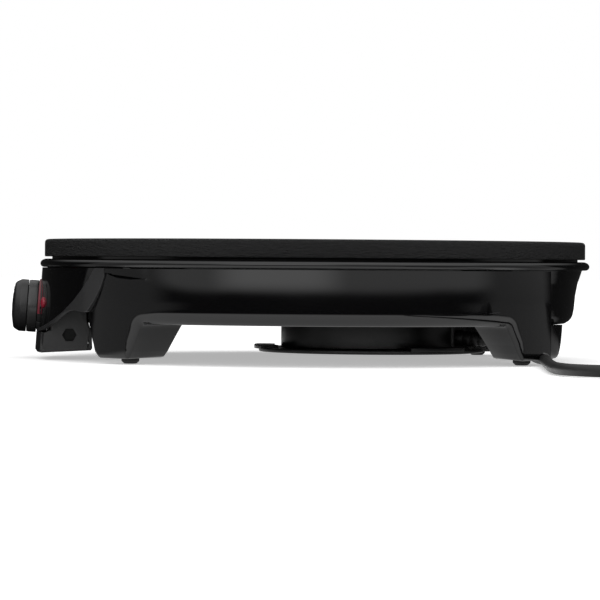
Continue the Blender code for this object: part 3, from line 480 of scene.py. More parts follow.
def smooth_path(points, spacing):
    """Points at even spacing on a smooth curve through the route's own points."""
    path = [Vector(p) for p in points]
    path = [path[0] * 2 - path[1]] + path + [path[-1] * 2 - path[-2]]
    fine = []
    for a, b, c, d in zip(path, path[1:], path[2:], path[3:]):
        for t in (step / 16 for step in range(16)):
            fine.append(0.5 * (2 * b + (c - a) * t + (2 * a - 5 * b + 4 * c - d) * t * t
                               + (3 * b - a - 3 * c + d) * t ** 3))
    fine.append(path[-2])
    total = sum((b - a).length for a, b in zip(fine, fine[1:]))
    count = max(2, round(total / spacing))
    read, travelled, target = [fine[0]], 0.0, total / count
    for a, b in zip(fine, fine[1:]):
        travelled += (b - a).length
        while travelled >= target - 1e-9 and len(read) < count:
            read.append(b - (b - a).normalized() * (travelled - target))
            target += total / count
    return read + [fine[-1]]


def heading(path, i):
    """Direction of a path at one of its points."""
    return (path[min(i + 1, len(path) - 1)] - path[max(i - 1, 0)]).normalized()


def hose(name, path, radius, sides=20):
    """Round tube along a path, with flat ends."""
    sections = []
    normal = Vector((0, 0, 1))
    turns = [2 * math.pi * s / sides for s in range(sides)]
    for i, here in enumerate(path):
        ahead = heading(path, i)
        normal = (normal - ahead * normal.dot(ahead)).normalized()
        across = ahead.cross(normal)
        sections.append([here + (normal * math.cos(a) + across * math.sin(a)) * radius for a in turns])
    return loft(name, sections, 60)


# --- mains cord
CORD_R = 0.0035
CORD_STEP = 0.0035  # between the points of the finished path
RELIEF_START = Vector((0.0905 + AXIS, -0.0285, 0.015))
HEADING = math.radians(-28.0)
RELIEF_AXIS = Vector((math.cos(HEADING), math.sin(HEADING), -0.05)).normalized()
RELIEF_LENGTH = 0.026
CORD_ROUTE = [
    (0.1230, -0.0467, 0.0125), (0.1286, -0.0553, 0.0091), (0.1326, -0.0656, 0.0056),
    (0.1342, -0.0770, 0.0040), (0.1343, -0.0890, 0.0038), (0.1341, -0.1010, 0.0038),
    (0.1334, -0.1130, 0.0038), (0.1313, -0.1340, 0.0038), (0.1284, -0.1570, 0.0038),
    (0.1253, -0.1810, 0.0038), (0.1223, -0.2060, 0.0038), (0.1196, -0.2310, 0.0038),
    (0.1176, -0.2530, 0.0038), (0.1174, -0.2710, 0.0038), (0.1203, -0.2880, 0.0038),
    (0.1285, -0.3030, 0.0038), (0.1410, -0.3135, 0.0038), (0.1560, -0.3178, 0.0038),
    (0.1710, -0.3184, 0.0038), (0.1853, -0.3183, 0.0038),
]
COIL = Vector((0.21 + AXIS, -0.276, 0))
COIL_RADII = (0.0423, 0.035)  # the outer and the inner turns
COIL_HEIGHTS = (0.0038, 0.0106)  # the turns on the table and those on top
PLUG_START = Vector((0.2523 + AXIS, -0.2502, 0.0104))
PLUG_RISE = math.radians(11.8)


def cord_path():
    """Out of the relief, along the table, four turns of coil, and into the plug."""
    start = RELIEF_START + RELIEF_AXIS * (RELIEF_LENGTH + GAP)
    points = [start, start + RELIEF_AXIS * 0.006] + [Vector((x + AXIS, y, z)) for x, y, z in CORD_ROUTE]
    (wide, narrow), (low, high) = COIL_RADII, COIL_HEIGHTS
    # Two turns on the table, outside then inside, and two on top, inside then outside.
    radii = [(330, wide), (400, narrow), (1080, narrow), (1150, wide)]
    heights = [(720, low), (790, high)]
    for angle in range(20, 1523, 18):
        a = math.radians(angle - 90)
        radius, height = along(angle, radii), along(angle, heights)
        points.append(COIL + Vector((math.cos(a) * radius, math.sin(a) * radius, height)))
    rise = Vector((0, math.cos(PLUG_RISE), math.sin(PLUG_RISE)))
    return points + [PLUG_START - rise * 0.004, PLUG_START + rise * 0.002]


CORD = smooth_path(cord_path(), CORD_STEP)
cord = link(hose("mains_lead", CORD, CORD_R), "cord",
            replaces=("mains_cord", "cord_coil"))


def plug():
    """Round plug with a bell-shaped grip, set down beside the coil."""
    place = Matrix.Translation(PLUG_START) @ Matrix.Rotation(PLUG_RISE - math.pi / 2, 4, "X")
    outline = rounded([
        (0, 0.056, 0), (0.0168, 0.056, 0.0012), (0.019, 0.054, 0.0008), (0.019, 0.0415, 0.002),
        (0.015, 0.035, 0.006), (0.0112, 0.025, 0.008), (0.0082, 0.013, 0.004),
        (0.0062, 0.0118, 0.0004), (0.005, 0.002, 0.0006), (0.004, 0.0001, 0), (0, 0.0001, 0)],
        closed=False)
    return link(lathe("mains_plug", outline, 64, place), "cord",
                replaces=("plug_body",))


def coil_tie():
    """Strap round the coil's four strands, thinner where it passes under them."""
    slack, corner, half = 0.0002, 0.003, 0.0045
    inner, outer = COIL_RADII[1] - CORD_R - slack, COIL_RADII[0] + CORD_R + slack
    middle, reach = (inner + outer) / 2, (outer - inner) / 2 - corner
    low, high = 0.0003 + corner, 0.0142 - corner
    sections = []
    for cx, z, start in ((1, high, 0), (-1, high, 90), (-1, low, 180), (1, low, 270)):
        for a in (math.radians(start + 15 * step) for step in range(7)):
            normal = Vector((math.cos(a), math.sin(a)))
            spot = Vector((middle + cx * reach, z)) + corner * normal
            thick = blend(0.001, 0.0002, min(1, max(0, -normal.y) * 1.2))
            corners = [(y, spot + normal * lift)
                       for y, lift in ((-half, 0), (half, 0), (half, thick), (-half, thick))]
            sections.append([COIL + Vector((-at.x, y, at.y)) for y, at in corners])
    strap = bevelled(loft("coil_tie", sections, ring=True), 0.0001, 2, 50)
    return link(strap, "cord")


plug_piece = plug()
tie_piece = coil_tie()


# --- cooking plate
def cooking_plate():
    """Disc with a turned-down skirt, and three bosses under it for the studs."""
    outline = rounded([
        (0, PLATE_TOP, 0), (PLATE_RADIUS, PLATE_TOP, 0.0026), (PLATE_RADIUS, 0.0655, 0.0007),
        (0.1714, 0.0655, 0.0004), (0.171, 0.0717, 0.0006), (0, 0.0717, 0)], closed=False, pieces=7)
    boss = [(0, 0.072), (0.006, 0.072), (0.006, 0.0692), (0.0054, 0.0686), (0, 0.0686)]
    parts = [lathe("plate_disc", outline, 288)]
    parts += [lathe("boss", boss, 32, Matrix.Translation(pol(0.12, angle, 0)))
              for angle in (60, 180, 300)]
    return link(joined("plate", parts), "plate", replaces=("cooking_plate",))


cooking_plate()


# --- pan with its rounded lip
PAN_WALL = [(0.1722, 0.056, 0), (0.1703, 0.0505, 0.006), (0.1688, 0.0426, 0.006),
            (0.168, 0.034, 0.006), (0.167, 0.029, 0.006), (0.165, 0.0264, 0.0022),
            (0.1622, 0.0246, 0.0022), (0.142, 0.0246, 0)]
PAN_INSIDE = [(0.142, 0.0267), (0.1616, 0.0267), (0.1648, 0.0296), (0.1668, 0.043), (0.1694, 0.056)]
NOTCH = 34.2  # the wall is left open within this angle of the front
BOX_SIDE = 13  # angle at which the control box's sides are
BEAD_Z = 0.061


def pan_lip():
    """Rolled lip: a bead that overhangs, tucked in underneath, with its foot on the wall."""
    bead = arc((0.1735, BEAD_Z), (0.0043, 0.0031), [90 - 7.5 * i for i in range(13)])
    bead += arc((0.1752, BEAD_Z), (0.0026, -0.0023), range(10, 91, 10))
    foot = rounded([(0.1734, 0.0587, 0), (0.1729, 0.0583, 0.0004), (0.1722, 0.056, 0),
                    (0.1694, 0.056, 0), (0.1712, 0.0607, 0)], closed=False)
    return lathe("lip", [Vector((0.17, 0.0641))] + bead + foot, 288)


def notch_closures():
    """Bulkhead and shelf behind the open front, and ledges over the control box's sides."""
    bulkhead = [(0.1516, 0.0235), (0.1516, 0.056), (0.1496, 0.056), (0.1496, 0.0235)]
    shelf = [(0.169, 0.0561), (0.169, 0.0582), (0.1738, 0.0586), (0.1738, 0.06), (0.168, 0.06),
             (0.15, 0.0581), (0.15, 0.0561)]
    ledge = [(0.1515, 0.0334), (0.174, 0.0334), (0.174, 0.0344), (0.1515, 0.0344)]
    overlap = 0.4
    end = NOTCH + overlap
    behind, roof = (lathe("closure", outline, 48, first=-end, last=end) for outline in (bulkhead, shelf))
    ledges = [lathe("ledge", ledge, 24, first=a, last=b)
              for a, b in ((BOX_SIDE, NOTCH), (-NOTCH, -BOX_SIDE))]
    return behind, roof, ledges


def base_pan():
    """Glossy housing under the plate. Its upstand closes the gap inside the plate's skirt."""
    lip = pan_lip()
    outline = rounded(PAN_WALL, closed=False) + PAN_INSIDE
    wall = lathe("wall", outline, 240, first=NOTCH, last=360 - NOTCH)
    behind, roof, ledges = notch_closures()
    upstand = [(0.1702, 0.0636), (0.1702, 0.066), (0.1688, 0.066), (0.1688, 0.0636)]
    ridge = lathe("upstand", upstand, 192)
    pan = joined("housing_pan", [lip, wall, behind, roof, ridge] + ledges)
    return link(pan, "gloss", replaces=("base_pan",))


base_pan()


# --- glossy side shells with legs
SHELL_R = 0.176
SHELL_TOP = 0.0582
SHELL_WALL = 0.002
LEG_INSIDE = 0.137
LEG_TOP = 0.0243
SHELL_STEP = 0.0024  # the widest gap between the shell's columns
CROWN_START = 0.036  # above this height the wall curves inwards
CROWN = 2.4
CREASE = [(38.5, 0.056), (50.5, 0.0527)]
LEDGE = [(39.0, 0.0015), (44.0, 0.0011), (50.5, 0)]
GROOVE = [(38.9, 0), (39.6, 0.0016), (48.5, 0.0014), (50.8, 0)]


def crease_height(angle):
    return along(angle, CREASE)


def shell_radius(angle, z):
    """Outer face: upright low down, crowned above, and proud of itself over the short crease."""
    crown = CROWN * along(angle, [(40, 0.3), (60, 1.0)])
    radius = SHELL_R - crown / 2 * max(0.0, z - CROWN_START) ** 2
    if z > crease_height(angle) + 1e-6:
        radius += along(angle, LEDGE)
    return radius


# Each corner of the shell's outline, from its top front down round the legs to its top rear:
# angle, height, corner radius, fillet height and depth, the inner point (radius, angle, height),
# the angle at the top edge, and the angle of the leg's inner top corner.
IN = SHELL_R - SHELL_WALL
SHELL_CORNERS = [
    (39.0, 0.0582, 0, 0.0002, 0.0002, IN, 39.0, 0.0582, 39.15, None),
    (38.9, 0.0556, 0, 0.0002, 0.0002, IN, 38.9, 0.0556, 39.4, None),
    (38.25, 0.048, 0.004, 0.0003, 0.0003, IN, 38.2, 0.048, 39.9, None),
    (36.5, 0.0399, 0.006, 0.0003, 0.0003, IN, 36.5, 0.0399, 40.3, None),
    (34.4, 0.0325, 0.003, 0.0003, 0.0003, IN, 34.4, 0.0325, 40.9, None),
    (32.9, 0.0303, 0.0008, 0.0005, 0.0005, IN, 32.9, 0.0303, 41.3, None),
    (33.5, 0.0249, 0, 0.0005, 0.0005, IN, 33.5, 0.0249, 41.7, None),
    (33.6, 0.0243, 0, 0.0006, 0.0006, LEG_INSIDE, 36.0, LEG_TOP, 41.9, 36.0),
    (34.0, 0.0202, 0.004, 0.0008, 0.0008, LEG_INSIDE, 36.5, 0.0202, 42.2, 37.0),
    (35.4, 0.0072, 0.004, 0.0012, 0.0012, LEG_INSIDE, 38.3, 0.0072, 43.0, 38.5),
    (36.6, 0.0033, 0.0036, 0.0022, 0.002, LEG_INSIDE, 39.3, 0.0033, 43.4, 39.5),
    (44.0, 0.0033, 0, 0.0022, 0.002, LEG_INSIDE, 41.6, 0.0033, 45.4, 42.6),
    (45.3, 0.0033, 0.0026, 0.0024, 0.002, LEG_INSIDE, 42.8, 0.0041, 46.0, 44.0),
    (45.9, 0.0075, 0.004, 0.0036, 0.003, LEG_INSIDE, 44.2, 0.0075, 46.6, 45.0),
    (46.5, 0.0125, 0.006, 0.0048, 0.004, LEG_INSIDE, 45.7, 0.0125, 47.2, 46.2),
    (48.1, 0.0246, 0.0055, 0.0066, 0.0048, LEG_INSIDE, 49.2, LEG_TOP, 49.2, 49.2),
    (53.0, 0.0246, 0, 0.008, 0.0052, 0.17, 53.0, 0.0246, 53.0, None),
    (123.5, 0.0246, 0, 0.008, 0.0052, 0.17, 123.5, 0.0246, 123.5, None),
    (128.4, 0.0246, 0.0055, 0.0066, 0.0048, LEG_INSIDE, 131.6, LEG_TOP, 127.4, 131.6),
    (130.6, 0.0125, 0.006, 0.0048, 0.004, LEG_INSIDE, 136.7, 0.0125, 129.4, 134.5),
    (131.3, 0.0075, 0.004, 0.0036, 0.003, LEG_INSIDE, 138.8, 0.0075, 130.2, 136.5),
    (132.1, 0.0033, 0.0026, 0.0024, 0.002, LEG_INSIDE, 140.3, 0.0041, 131.2, 138.5),
    (133.6, 0.0033, 0, 0.0022, 0.002, LEG_INSIDE, 141.6, 0.0033, 132.4, 139.8),
    (142.2, 0.0033, 0.003, 0.0018, 0.0018, LEG_INSIDE, 148.0, 0.0033, 138.6, 147.0),
    (142.2, 0.0243, 0, 0.0014, 0.0014, LEG_INSIDE, 149.0, LEG_TOP, 140.8, 149.0),
    (142.2, 0.0249, 0, 0.0014, 0.0014, IN - 0.0004, 142.2, 0.0249, 140.9, None),
    (142.2, 0.0582, 0, 0.0014, 0.0014, IN - 0.0004, 142.2, 0.0582, 141.6, None),
]


def shell_angle(length):
    """The angle of a place that is given by its length round the wall."""
    return math.degrees(length / SHELL_R)


def shell_columns():
    """(position in the unrolled wall, share of the way through the corners) at close steps."""
    flat = [Vector((SHELL_R * math.radians(c[0]), c[1])) for c in SHELL_CORNERS]
    coarse = [(flat[0], 0.0)]
    for i in range(1, len(flat) - 1):
        curve = round_corner(flat[i - 1], flat[i], flat[i + 1], SHELL_CORNERS[i][2], 0.45, 8)
        coarse += [(spot, i + way) for way, spot in curve]
    coarse.append((flat[-1], float(len(flat) - 1)))
    fine = []
    for (a, u), (b, v) in zip(coarse, coarse[1:]):
        pieces = max(1, math.ceil((b - a).length / SHELL_STEP))
        fine += [(a.lerp(b, k / pieces), blend(u, v, k / pieces)) for k in range(pieces)]
    return fine + [coarse[-1]]


def outer_face(start, top_a, side):
    """The wall from its top edge to the fillet, in at the groove under the crease and out again."""
    start_a = shell_angle(start.x)
    crease_share = 0.0
    if SHELL_TOP - start.y > 1e-5:
        crease = crease_height(blend(top_a, start_a, 0.06))
        crease_share = min(1.0, (SHELL_TOP - crease) / (SHELL_TOP - start.y))
    above = [blend(0, crease_share, k / 3) for k in range(4)]
    below = [blend(crease_share, 1, (k / 14) ** 1.15) for k in range(1, 15)]
    ring = [pol(IN, top_a, SHELL_TOP, side)]
    for u in above:
        a, z = blend(top_a, start_a, u), blend(SHELL_TOP, start.y, u)
        ring.append(pol(shell_radius(a, max(z, crease_height(a) + 2e-6)), a, z, side))
    depth = along(a, GROOVE)
    drop = min(0.001, max(0.0, z - start.y) * 0.5) * min(1, depth / 0.0008)
    under = shell_radius(a, crease_height(a)) - depth
    ring += [pol(under, a, z - drop * share, side) for share in (0.05, 0.85)]
    for u in below:
        a, z = blend(top_a, start_a, u), blend(SHELL_TOP, start.y, u)
        ring.append(pol(shell_radius(a, min(z, crease_height(a))), a, z, side))
    return ring


def inner_corner(leg, t, inner, low):
    """(radius, angle, height) of the corner above the inner point, or a leg's inner top corner."""
    in_r, in_a, in_z = inner
    first, second = leg
    if first and second:
        return LEG_INSIDE, blend(first, second, t), max(in_z, LEG_TOP)
    if first or second:
        weight = 1 - t if first else t
        return in_r, blend(in_a, first or second, weight), blend(in_z, LEG_TOP, weight) + HAIR
    return min(in_r, IN - HAIR), in_a, in_z + (0.0016 if low else 0.0)


def shell_ring(spot, normal, share, side):
    """Closed section through the wall at one column."""
    i = min(int(share), len(SHELL_CORNERS) - 2)
    one, two, t = SHELL_CORNERS[i], SHELL_CORNERS[i + 1], share - i
    tall, deep, in_r, in_a, in_z, top_a = (blend(one[k], two[k], t) for k in range(3, 9))
    start = spot - normal * tall
    ring = outer_face(start, top_a, side)
    base = shell_radius(shell_angle(start.x), start.y)
    for phi in (math.radians(90 * k / 8) for k in range(1, 9)):
        at = spot - normal * tall * (1 - math.sin(phi))
        ring.append(pol(base - deep * (1 - math.cos(phi)), shell_angle(at.x), at.y, side))
    ring.append(pol(min(in_r, base - deep - HAIR), in_a, in_z, side))
    under_body = spot.y < 0.03 and 50 < in_a < 126
    ring.append(pol(*inner_corner((one[9], two[9]), t, (in_r, in_a, in_z), under_body), side))
    behind = start - normal * 0.001
    height = min(max(behind.y, LEG_TOP + 0.0006), SHELL_TOP)
    ring.append(pol(IN - 2 * HAIR, shell_angle(behind.x), height, side))
    return ring


def shell_wall(side):
    columns = shell_columns()
    spots = [spot for spot, _ in columns]
    rings = []
    for i, (spot, share) in enumerate(columns):
        way = heading(spots, i)
        rings.append(shell_ring(spot, Vector((way.y, -way.x)), share, side))
    return loft("shell_wall", rings, 42)


def rear_web(side):
    """The rear leg's own back part, set in from the wall. It draws in at its foot."""
    sections = []
    for z, shrink in ((0.0247, 0), (0.02, 0), (0.015, 0), (0.01, 0), (0.0062, 0), (0.0046, 0.0004),
                      (0.0037, 0.0011), (0.0033, 0.0022)):
        outer = along(z, [(0.0033, 0.1668), (0.012, 0.169), (LEG_TOP, 0.17)]) - shrink
        inner = LEG_INSIDE + shrink
        trim = math.degrees(shrink / outer)
        loop = [(outer, a) for a in (141.8, 144, 146, 148, 150, 151.6 - trim)]
        loop += [(outer - 0.0006, 152.5 - trim), (outer - 0.0022, 153.1 - trim),
                 (outer - 0.0045, 153.2 - trim), (0.152, 152.0 - trim)]
        loop += [(inner, 150.0 - trim), (inner, 146.0), (inner, 143.0), (0.152, 141.8)]
        sections.append([pol(r, a, z, side) for r, a in loop])
    return loft("rear_web", sections, 42)


def cord_tunnel():
    """Arch along the cord's way under the rear leg."""
    route = smooth_path([(x + AXIS, y, 0) for x, y in (
        (0.1262, -0.0505), (0.13, -0.058), (0.1329, -0.066), (0.1342, -0.077), (0.1342, -0.101),
        (0.1334, -0.113), (0.1322, -0.126))], 0.003)
    half, sill = 0.0042, -0.002
    profile = [(-half, sill), (half, sill)] + arc((0, 0.0039), (half, half), range(0, 181, 15))
    sections = []
    for i, here in enumerate(route):
        ahead = heading(route, i)
        across = Vector((ahead.y, -ahead.x, 0))
        sections.append([here + across * u + Vector((0, 0, z)) for u, z in profile])
    return loft("tunnel", sections)


def side_shells():
    """Only the camera's side has the tunnel, because the cord leaves on that side."""
    for name, side in HANDS:
        parts = [shell_wall(side), rear_web(side)]
        if side > 0:
            parts = [cut(part, cord_tunnel()) for part in parts]
        link(joined("shell_" + name, parts), "gloss", replaces=("side_shell_" + name,))


side_shells()


# --- front module
FRONT_FOOT = 0.18126  # radius that the front's face would have at the table
FRONT_SLOPE = 0.0675  # it leans forward as it goes down
FRONT_LEAN = math.atan(FRONT_SLOPE)
FRONT_TOP = 0.0584
BAND_TAPER, BAND_END = 33, 38.8  # angles at which the band starts to be set back, and ends
BOWL_LOW, BOWL_RISE, BOWL_HALF = 0.0198, 0.0428, 36.6
FRAME_LOW = [(0, 0.0176), (8, 0.0179), (12, 0.0187), (15.2, 0.0209), (19.4, 0.024), (23.7, 0.0289),
             (26, 0.0315), (28.5, 0.0323), (33.6, 0.0312), (34.2, 0.0322), (36.3, 0.0395),
             (38.0, 0.0476), (38.9, 0.056)]
KNOB_PLACE = (Matrix.Translation((-0.178219 + AXIS, 0, 0.0332))
              @ Matrix.Rotation(FRONT_LEAN - math.pi / 2, 4, "Y"))
UPSIDE = KNOB_PLACE @ Matrix.Rotation(math.pi, 4, "Z")
COLLAR_END = 124  # half the arc of the collar that is on the fascia, in degrees
COLLAR = [(0.015, 0.0009), (0.0168, 0.0012), (0.0172, 0.001), (0.0182, -0.0008)]
POCKET = (-0.1588, 0.0157)  # the hexagon's centre on a box cover
POCKET_R = 0.0045
POCKET_FLOOR, COVER_FACE = 0.0354, 0.037  # distances sideways from the middle


def front_radius(z):
    return FRONT_FOOT - FRONT_SLOPE * z


def bowl_edge(angle):
    """Height of the bowl-shaped panel's lower edge."""
    u = min(abs(angle) / BOWL_HALF, 1)
    return BOWL_LOW + BOWL_RISE * (0.76 * u ** 2.6 + 0.24 * u ** 8)


def collar_arc(name, first, last, steps, root=-0.0035):
    """Stretch of the low collar round the knob, between two angles from its top."""
    outline = rounded([(r, z, 0.0004) for r, z in COLLAR] + [(0.0183, root, 0), (0.015, root, 0)],
                      pieces=3)
    return lathe(name, outline, steps, UPSIDE, first, last)


def frame_band():
    """Band between the bowl's edge and the frame's own lower edge, set back at its ends."""
    angles = [BAND_END - 0.6 * i for i in range(65)] + [0]
    angles += [-a for a in reversed(angles[:-1])]
    sections = []
    for angle in angles:
        high = min(FRONT_TOP, bowl_edge(angle) - GAP)
        low = min(smoothed(abs(angle), FRAME_LOW, 0.5), high - 0.0008)
        back = front_radius(high) - 0.0024 if abs(angle) < BAND_TAPER else SHELL_R - 0.0009
        setback = 0.0011 * along(abs(angle), [(BAND_TAPER, 0), (BAND_END, 1)])
        section = []
        for z in (blend(high, low, row / 6) for row in range(7)):
            flush = along(z, [(0.053, 1), (0.0565, 0)])
            section.append(pol(front_radius(z) - setback * flush, angle, z))
        sections.append(section + [pol(back, angle, low), pol(back, angle, high)])
    return loft("band", sections, 30)


def front_frame():
    """Satin band along the fascia's lower edge, with the collar's lower ends."""
    gap, end = 0.4, 149
    start = COLLAR_END + gap
    ends = [collar_arc("end", first, last, 24, -0.002) for first, last in ((start, end), (-end, -start))]
    frame_piece = bevelled(joined("fascia_frame", [frame_band()] + ends), 0.00035, 3, 35)
    return link(frame_piece, "frame", replaces=("front_frame",))


def paint_pocket_shade(cover):
    """Gives the hexagonal pocket's floor and walls a darker, matt material: painted shade in the recess.
    """
    for face in cover.data.polygons:
        x, y, z = face.center
        across = math.hypot(x - AXIS - POCKET[0], z - POCKET[1])
        if across < POCKET_R - HAIR and POCKET_FLOOR - 0.0004 < abs(y) < COVER_FACE - 0.0004:
            face.material_index = 1


def slab(name, side, ends):
    """Body between two upright outlines, each given with how far sideways it is."""
    return loft(name, [[Vector((x + AXIS, -side * y, z)) for x, z in outline] for y, outline in ends])


def box_covers():
    """Flat covers on the control box, with a hexagonal pocket and a hidden tongue each."""
    outline = rounded([
        (-0.1757, 0.0076, 0.002), (-0.175, 0.0168, 0.001), (-0.1722, 0.0183, 0.0004),
        (-0.1704, 0.0184, 0.0002), (-0.1704, 0.024, 0), (-0.1697, 0.03, 0.002),
        (-0.169, 0.0331, 0.0014), (-0.152, 0.0331, 0.0015), (-0.148, 0.03, 0.0015),
        (-0.148, 0.0245, 0.002), (-0.1462, 0.019, 0.003), (-0.1476, 0.0062, 0.0012),
        (-0.165, 0.0052, 0.002), (-0.174, 0.0046, 0.0016)], pieces=3)
    hexagon = arc(POCKET, (POCKET_R, POCKET_R), range(0, 360, 60))
    low, high, rear = 0.016, 0.0226, -0.164
    tongue = [(y, [(front, low), (front, high), (rear, high), (rear, low)])
              for y, front in ((0.022, -0.1732), (0.035, -0.1709))]
    for hand, side in HANDS:
        name = "cover_" + hand
        cover = slab(name, side, ((0.0346, outline), (COVER_FACE, outline)))
        cut(cover, slab("pocket", side, ((POCKET_FLOOR, hexagon), (COVER_FACE + 0.001, hexagon))))
        cover = joined(name, [cover, slab("tongue", side, tongue)])
        bevelled(cover, 0.00045)
        link(cover, "cover", replaces=("box_" + name,))
        # The pocket's floor and walls take the darker material: painted shade in the recess.
        cover.data.materials.append(MAT["pocket"])
        paint_pocket_shade(cover)


front_frame()
box_covers()


# --- knob and fascia
def knob():
    """Cap and skirt with a groove between them, and a raised pointer on the cap's shoulder."""
    cap = rounded([
        (0, 0.0177, 0), (0.007, 0.0174, 0.004), (0.0148, 0.016, 0.003), (0.0168, 0.0122, 0.0024),
        (0.0168, 0.0078, 0.0004), (0.0146, 0.0078, 0.0003), (0.0146, 0.0118, 0.001),
        (0.012, 0.014, 0.001), (0.0056, 0.0148, 0.0005), (0.0056, 0.0014, 0.0003),
        (0.0034, 0.0014, 0.0002), (0.0034, 0.0116, 0), (0, 0.0116, 0)], closed=False, pieces=5)
    link(lathe("knob_top", cap, 128, KNOB_PLACE), "knob", "knob", ("knob_cap",))
    skirt = rounded([
        (0.0165, 0.0075, 0.0003), (0.0168, 0.006, 0.001), (0.0168, 0.0013, 0.0005),
        (0.0155, 0.0013, 0.0003), (0.015, 0.0018, 0.0003), (0.0062, 0.0018, 0.0003),
        (0.0062, 0.0032, 0.0003), (0.015, 0.0032, 0.0003), (0.015, 0.0075, 0.0003)], pieces=4)
    link(lathe("knob_skirt", skirt, 128, KNOB_PLACE), "skirt", "knob", ("knob_ring",))
    # The pointer's sections, from the cap's middle outwards: reach, half its width, height.
    sections = []
    for reach, half, lift in ((0.0086, 0.0004, 0.0168), (0.0092, 0.0006, 0.01745),
                              (0.012, 0.0006, 0.0169), (0.0143, 0.0006, 0.01645),
                              (0.0149, 0.0004, 0.0155)):
        low = lift - 0.0012
        corners = ((-half, low), (half, low), (half * 0.9, lift), (-half * 0.9, lift))
        sections.append([KNOB_PLACE @ Vector((reach, y, z)) for y, z in corners])
    pointer = bevelled(loft("knob_pointer", sections), 0.00012, 2, 30)
    link(pointer, "print", "knob")


def fascia():
    """The panel's own CAD shape, with the low collar round the knob that carries the dial."""
    panel = bpy.data.objects.new("panel", NODES["fascia_panel"].data.copy())
    piece = joined("fascia", [panel, collar_arc("collar", -COLLAR_END, COLLAR_END, 128)])
    bevelled(piece, 0.0002, 2, 35)
    link(piece, "gloss", replaces=("fascia_panel",))


def dial_print():
    """Heat wedge printed on the collar's flank: an arc that widens from pale to red."""
    sections = []
    steps, half_turn, ink = 96, 105, 0.0002
    (r0, z0), (r1, z1) = COLLAR[2:]
    for step in range(steps + 1):
        turn = math.radians(-half_turn + 2 * half_turn * step / steps)
        share = blend(0.25, 0.85, step / steps)
        section = []
        for reach, lift in ((0.08, 0.00018), (share, 0.00018), (share, -ink), (0.08, -ink)):
            # The flank leans, so that standing proud of it goes partly outwards and partly up.
            r, z = blend(r0, r1, reach) + lift * 0.66, blend(z0, z1, reach) + lift * 0.75
            section.append(KNOB_PLACE @ Vector((math.cos(turn) * r, -math.sin(turn) * r, z)))
        sections.append(section)
    link(loft("heat_scale", sections, 60), "wedge")


def pilot_lens():
    """Low dome in the fascia, beside the knob."""
    height, angle, radius = 0.0362, 10.2, 0.0034
    place = (Matrix.Translation(pol(front_radius(height) - 0.0008, angle, height))
             @ Matrix.Rotation(math.radians(angle), 4, "Z")
             @ Matrix.Rotation(FRONT_LEAN - math.pi / 2, 4, "Y"))
    dome = arc((0, 0.0004), (radius, 0.0016), range(90, -1, -9))
    outline = dome + [(radius, -0.004), (0, -0.004)]
    link(lathe("pilot_window", outline, 40, place), "lens", replaces=("pilot_lens",))


knob()
fascia()
dial_print()
pilot_lens()


# --- cord reel and feet
REEL = Matrix.Translation((0.037 + AXIS, 0, 0))


def reel_drum():
    """Open drum with the boss that the cord leaves through."""
    drum = rounded([
        (0.048, 0.0268, 0), (0.0585, 0.0268, 0.001), (0.0585, 0.0079, 0.0006), (0.0563, 0.0079, 0.0004),
        (0.0563, 0.0246, 0.0004), (0.048, 0.0246, 0)], pieces=4)
    boss = Matrix.Translation((0.0875 + AXIS, -0.0269, 0)) @ Matrix.Rotation(HEADING, 4, "Z")
    corners = rounded([(-0.003, -0.0065, 0), (0.003, -0.0065, 0.001), (0.003, 0.0065, 0.001),
                       (-0.003, 0.0065, 0)], pieces=3)
    block = loft("boss", [[boss @ Vector((p.x, p.y, z)) for p in corners] for z in (0.0093, 0.0262)])
    link(joined("reel_wall", [lathe("drum", drum, 160, REEL), block]), "reel",
         replaces=("reel_drum",))


def reel_flange():
    """Disc with four tabs on its rim, held by three posts."""
    disc = rounded([(0, 0.0076, 0), (0.073, 0.0076, 0.0007), (0.073, 0.005, 0.0009), (0, 0.005, 0)],
                   closed=False)
    tab = rounded([(0.064, 0.007, 0), (0.076, 0.007, 0.0003), (0.076, 0.0096, 0.0006),
                   (0.064, 0.0096, 0.0004)], pieces=3)
    post = [(0, 0.0268), (0.0055, 0.0268), (0.0055, 0.007), (0, 0.007)]
    parts = [lathe("disc", disc, 160, REEL)]
    parts += [lathe("tab", tab, 16, REEL, first=middle - 16, last=middle + 16)
              for middle in (0, 240, 180, 120)]
    for a in (math.radians(angle) for angle in (30, 150, 270)):
        place = REEL @ Matrix.Translation((0.03 * math.cos(a), 0.03 * math.sin(a), 0))
        parts.append(lathe("post", post, 32, place))
    link(joined("reel_plate", parts), "reel", replaces=("reel_flange",))


def rubber_feet():
    """Tapered pads under the legs."""
    outline = rounded([(0, 0.0034, 0), (0.0055, 0.0034, 0), (0.0055, 0.0016, 0.0008), (0.0038, 0, 0.0012),
                       (0, 0, 0)], closed=False)
    for end, angle in (("front_", 40.7), ("rear_", 138.9)):
        for hand, side in HANDS:
            place = Matrix.Translation(pol(0.16, angle, 0, side))
            link(lathe("pad_" + end + hand, outline, 40, place), "rubber",
                 replaces=("foot_" + end + hand,))


reel_drum()
reel_flange()
rubber_feet()


# --- parts that keep the CAD's own shape
FINE = {
    "satin": [("base_cover", 0.0003), ("control_box", 0.0006)],
    "reel": [("cord_clamp", 0.0003)],
    "cord": [("strain_relief", 0.0003)],
    "dark_steel": [("box_screw_" + hand, 0.0003) for hand, _ in HANDS],
    "steel": [("reel_screw_" + number, 0.0004) for number in "123"],
}
for surface, names in FINE.items():
    for name, width in names:
        refined(name, surface, width)


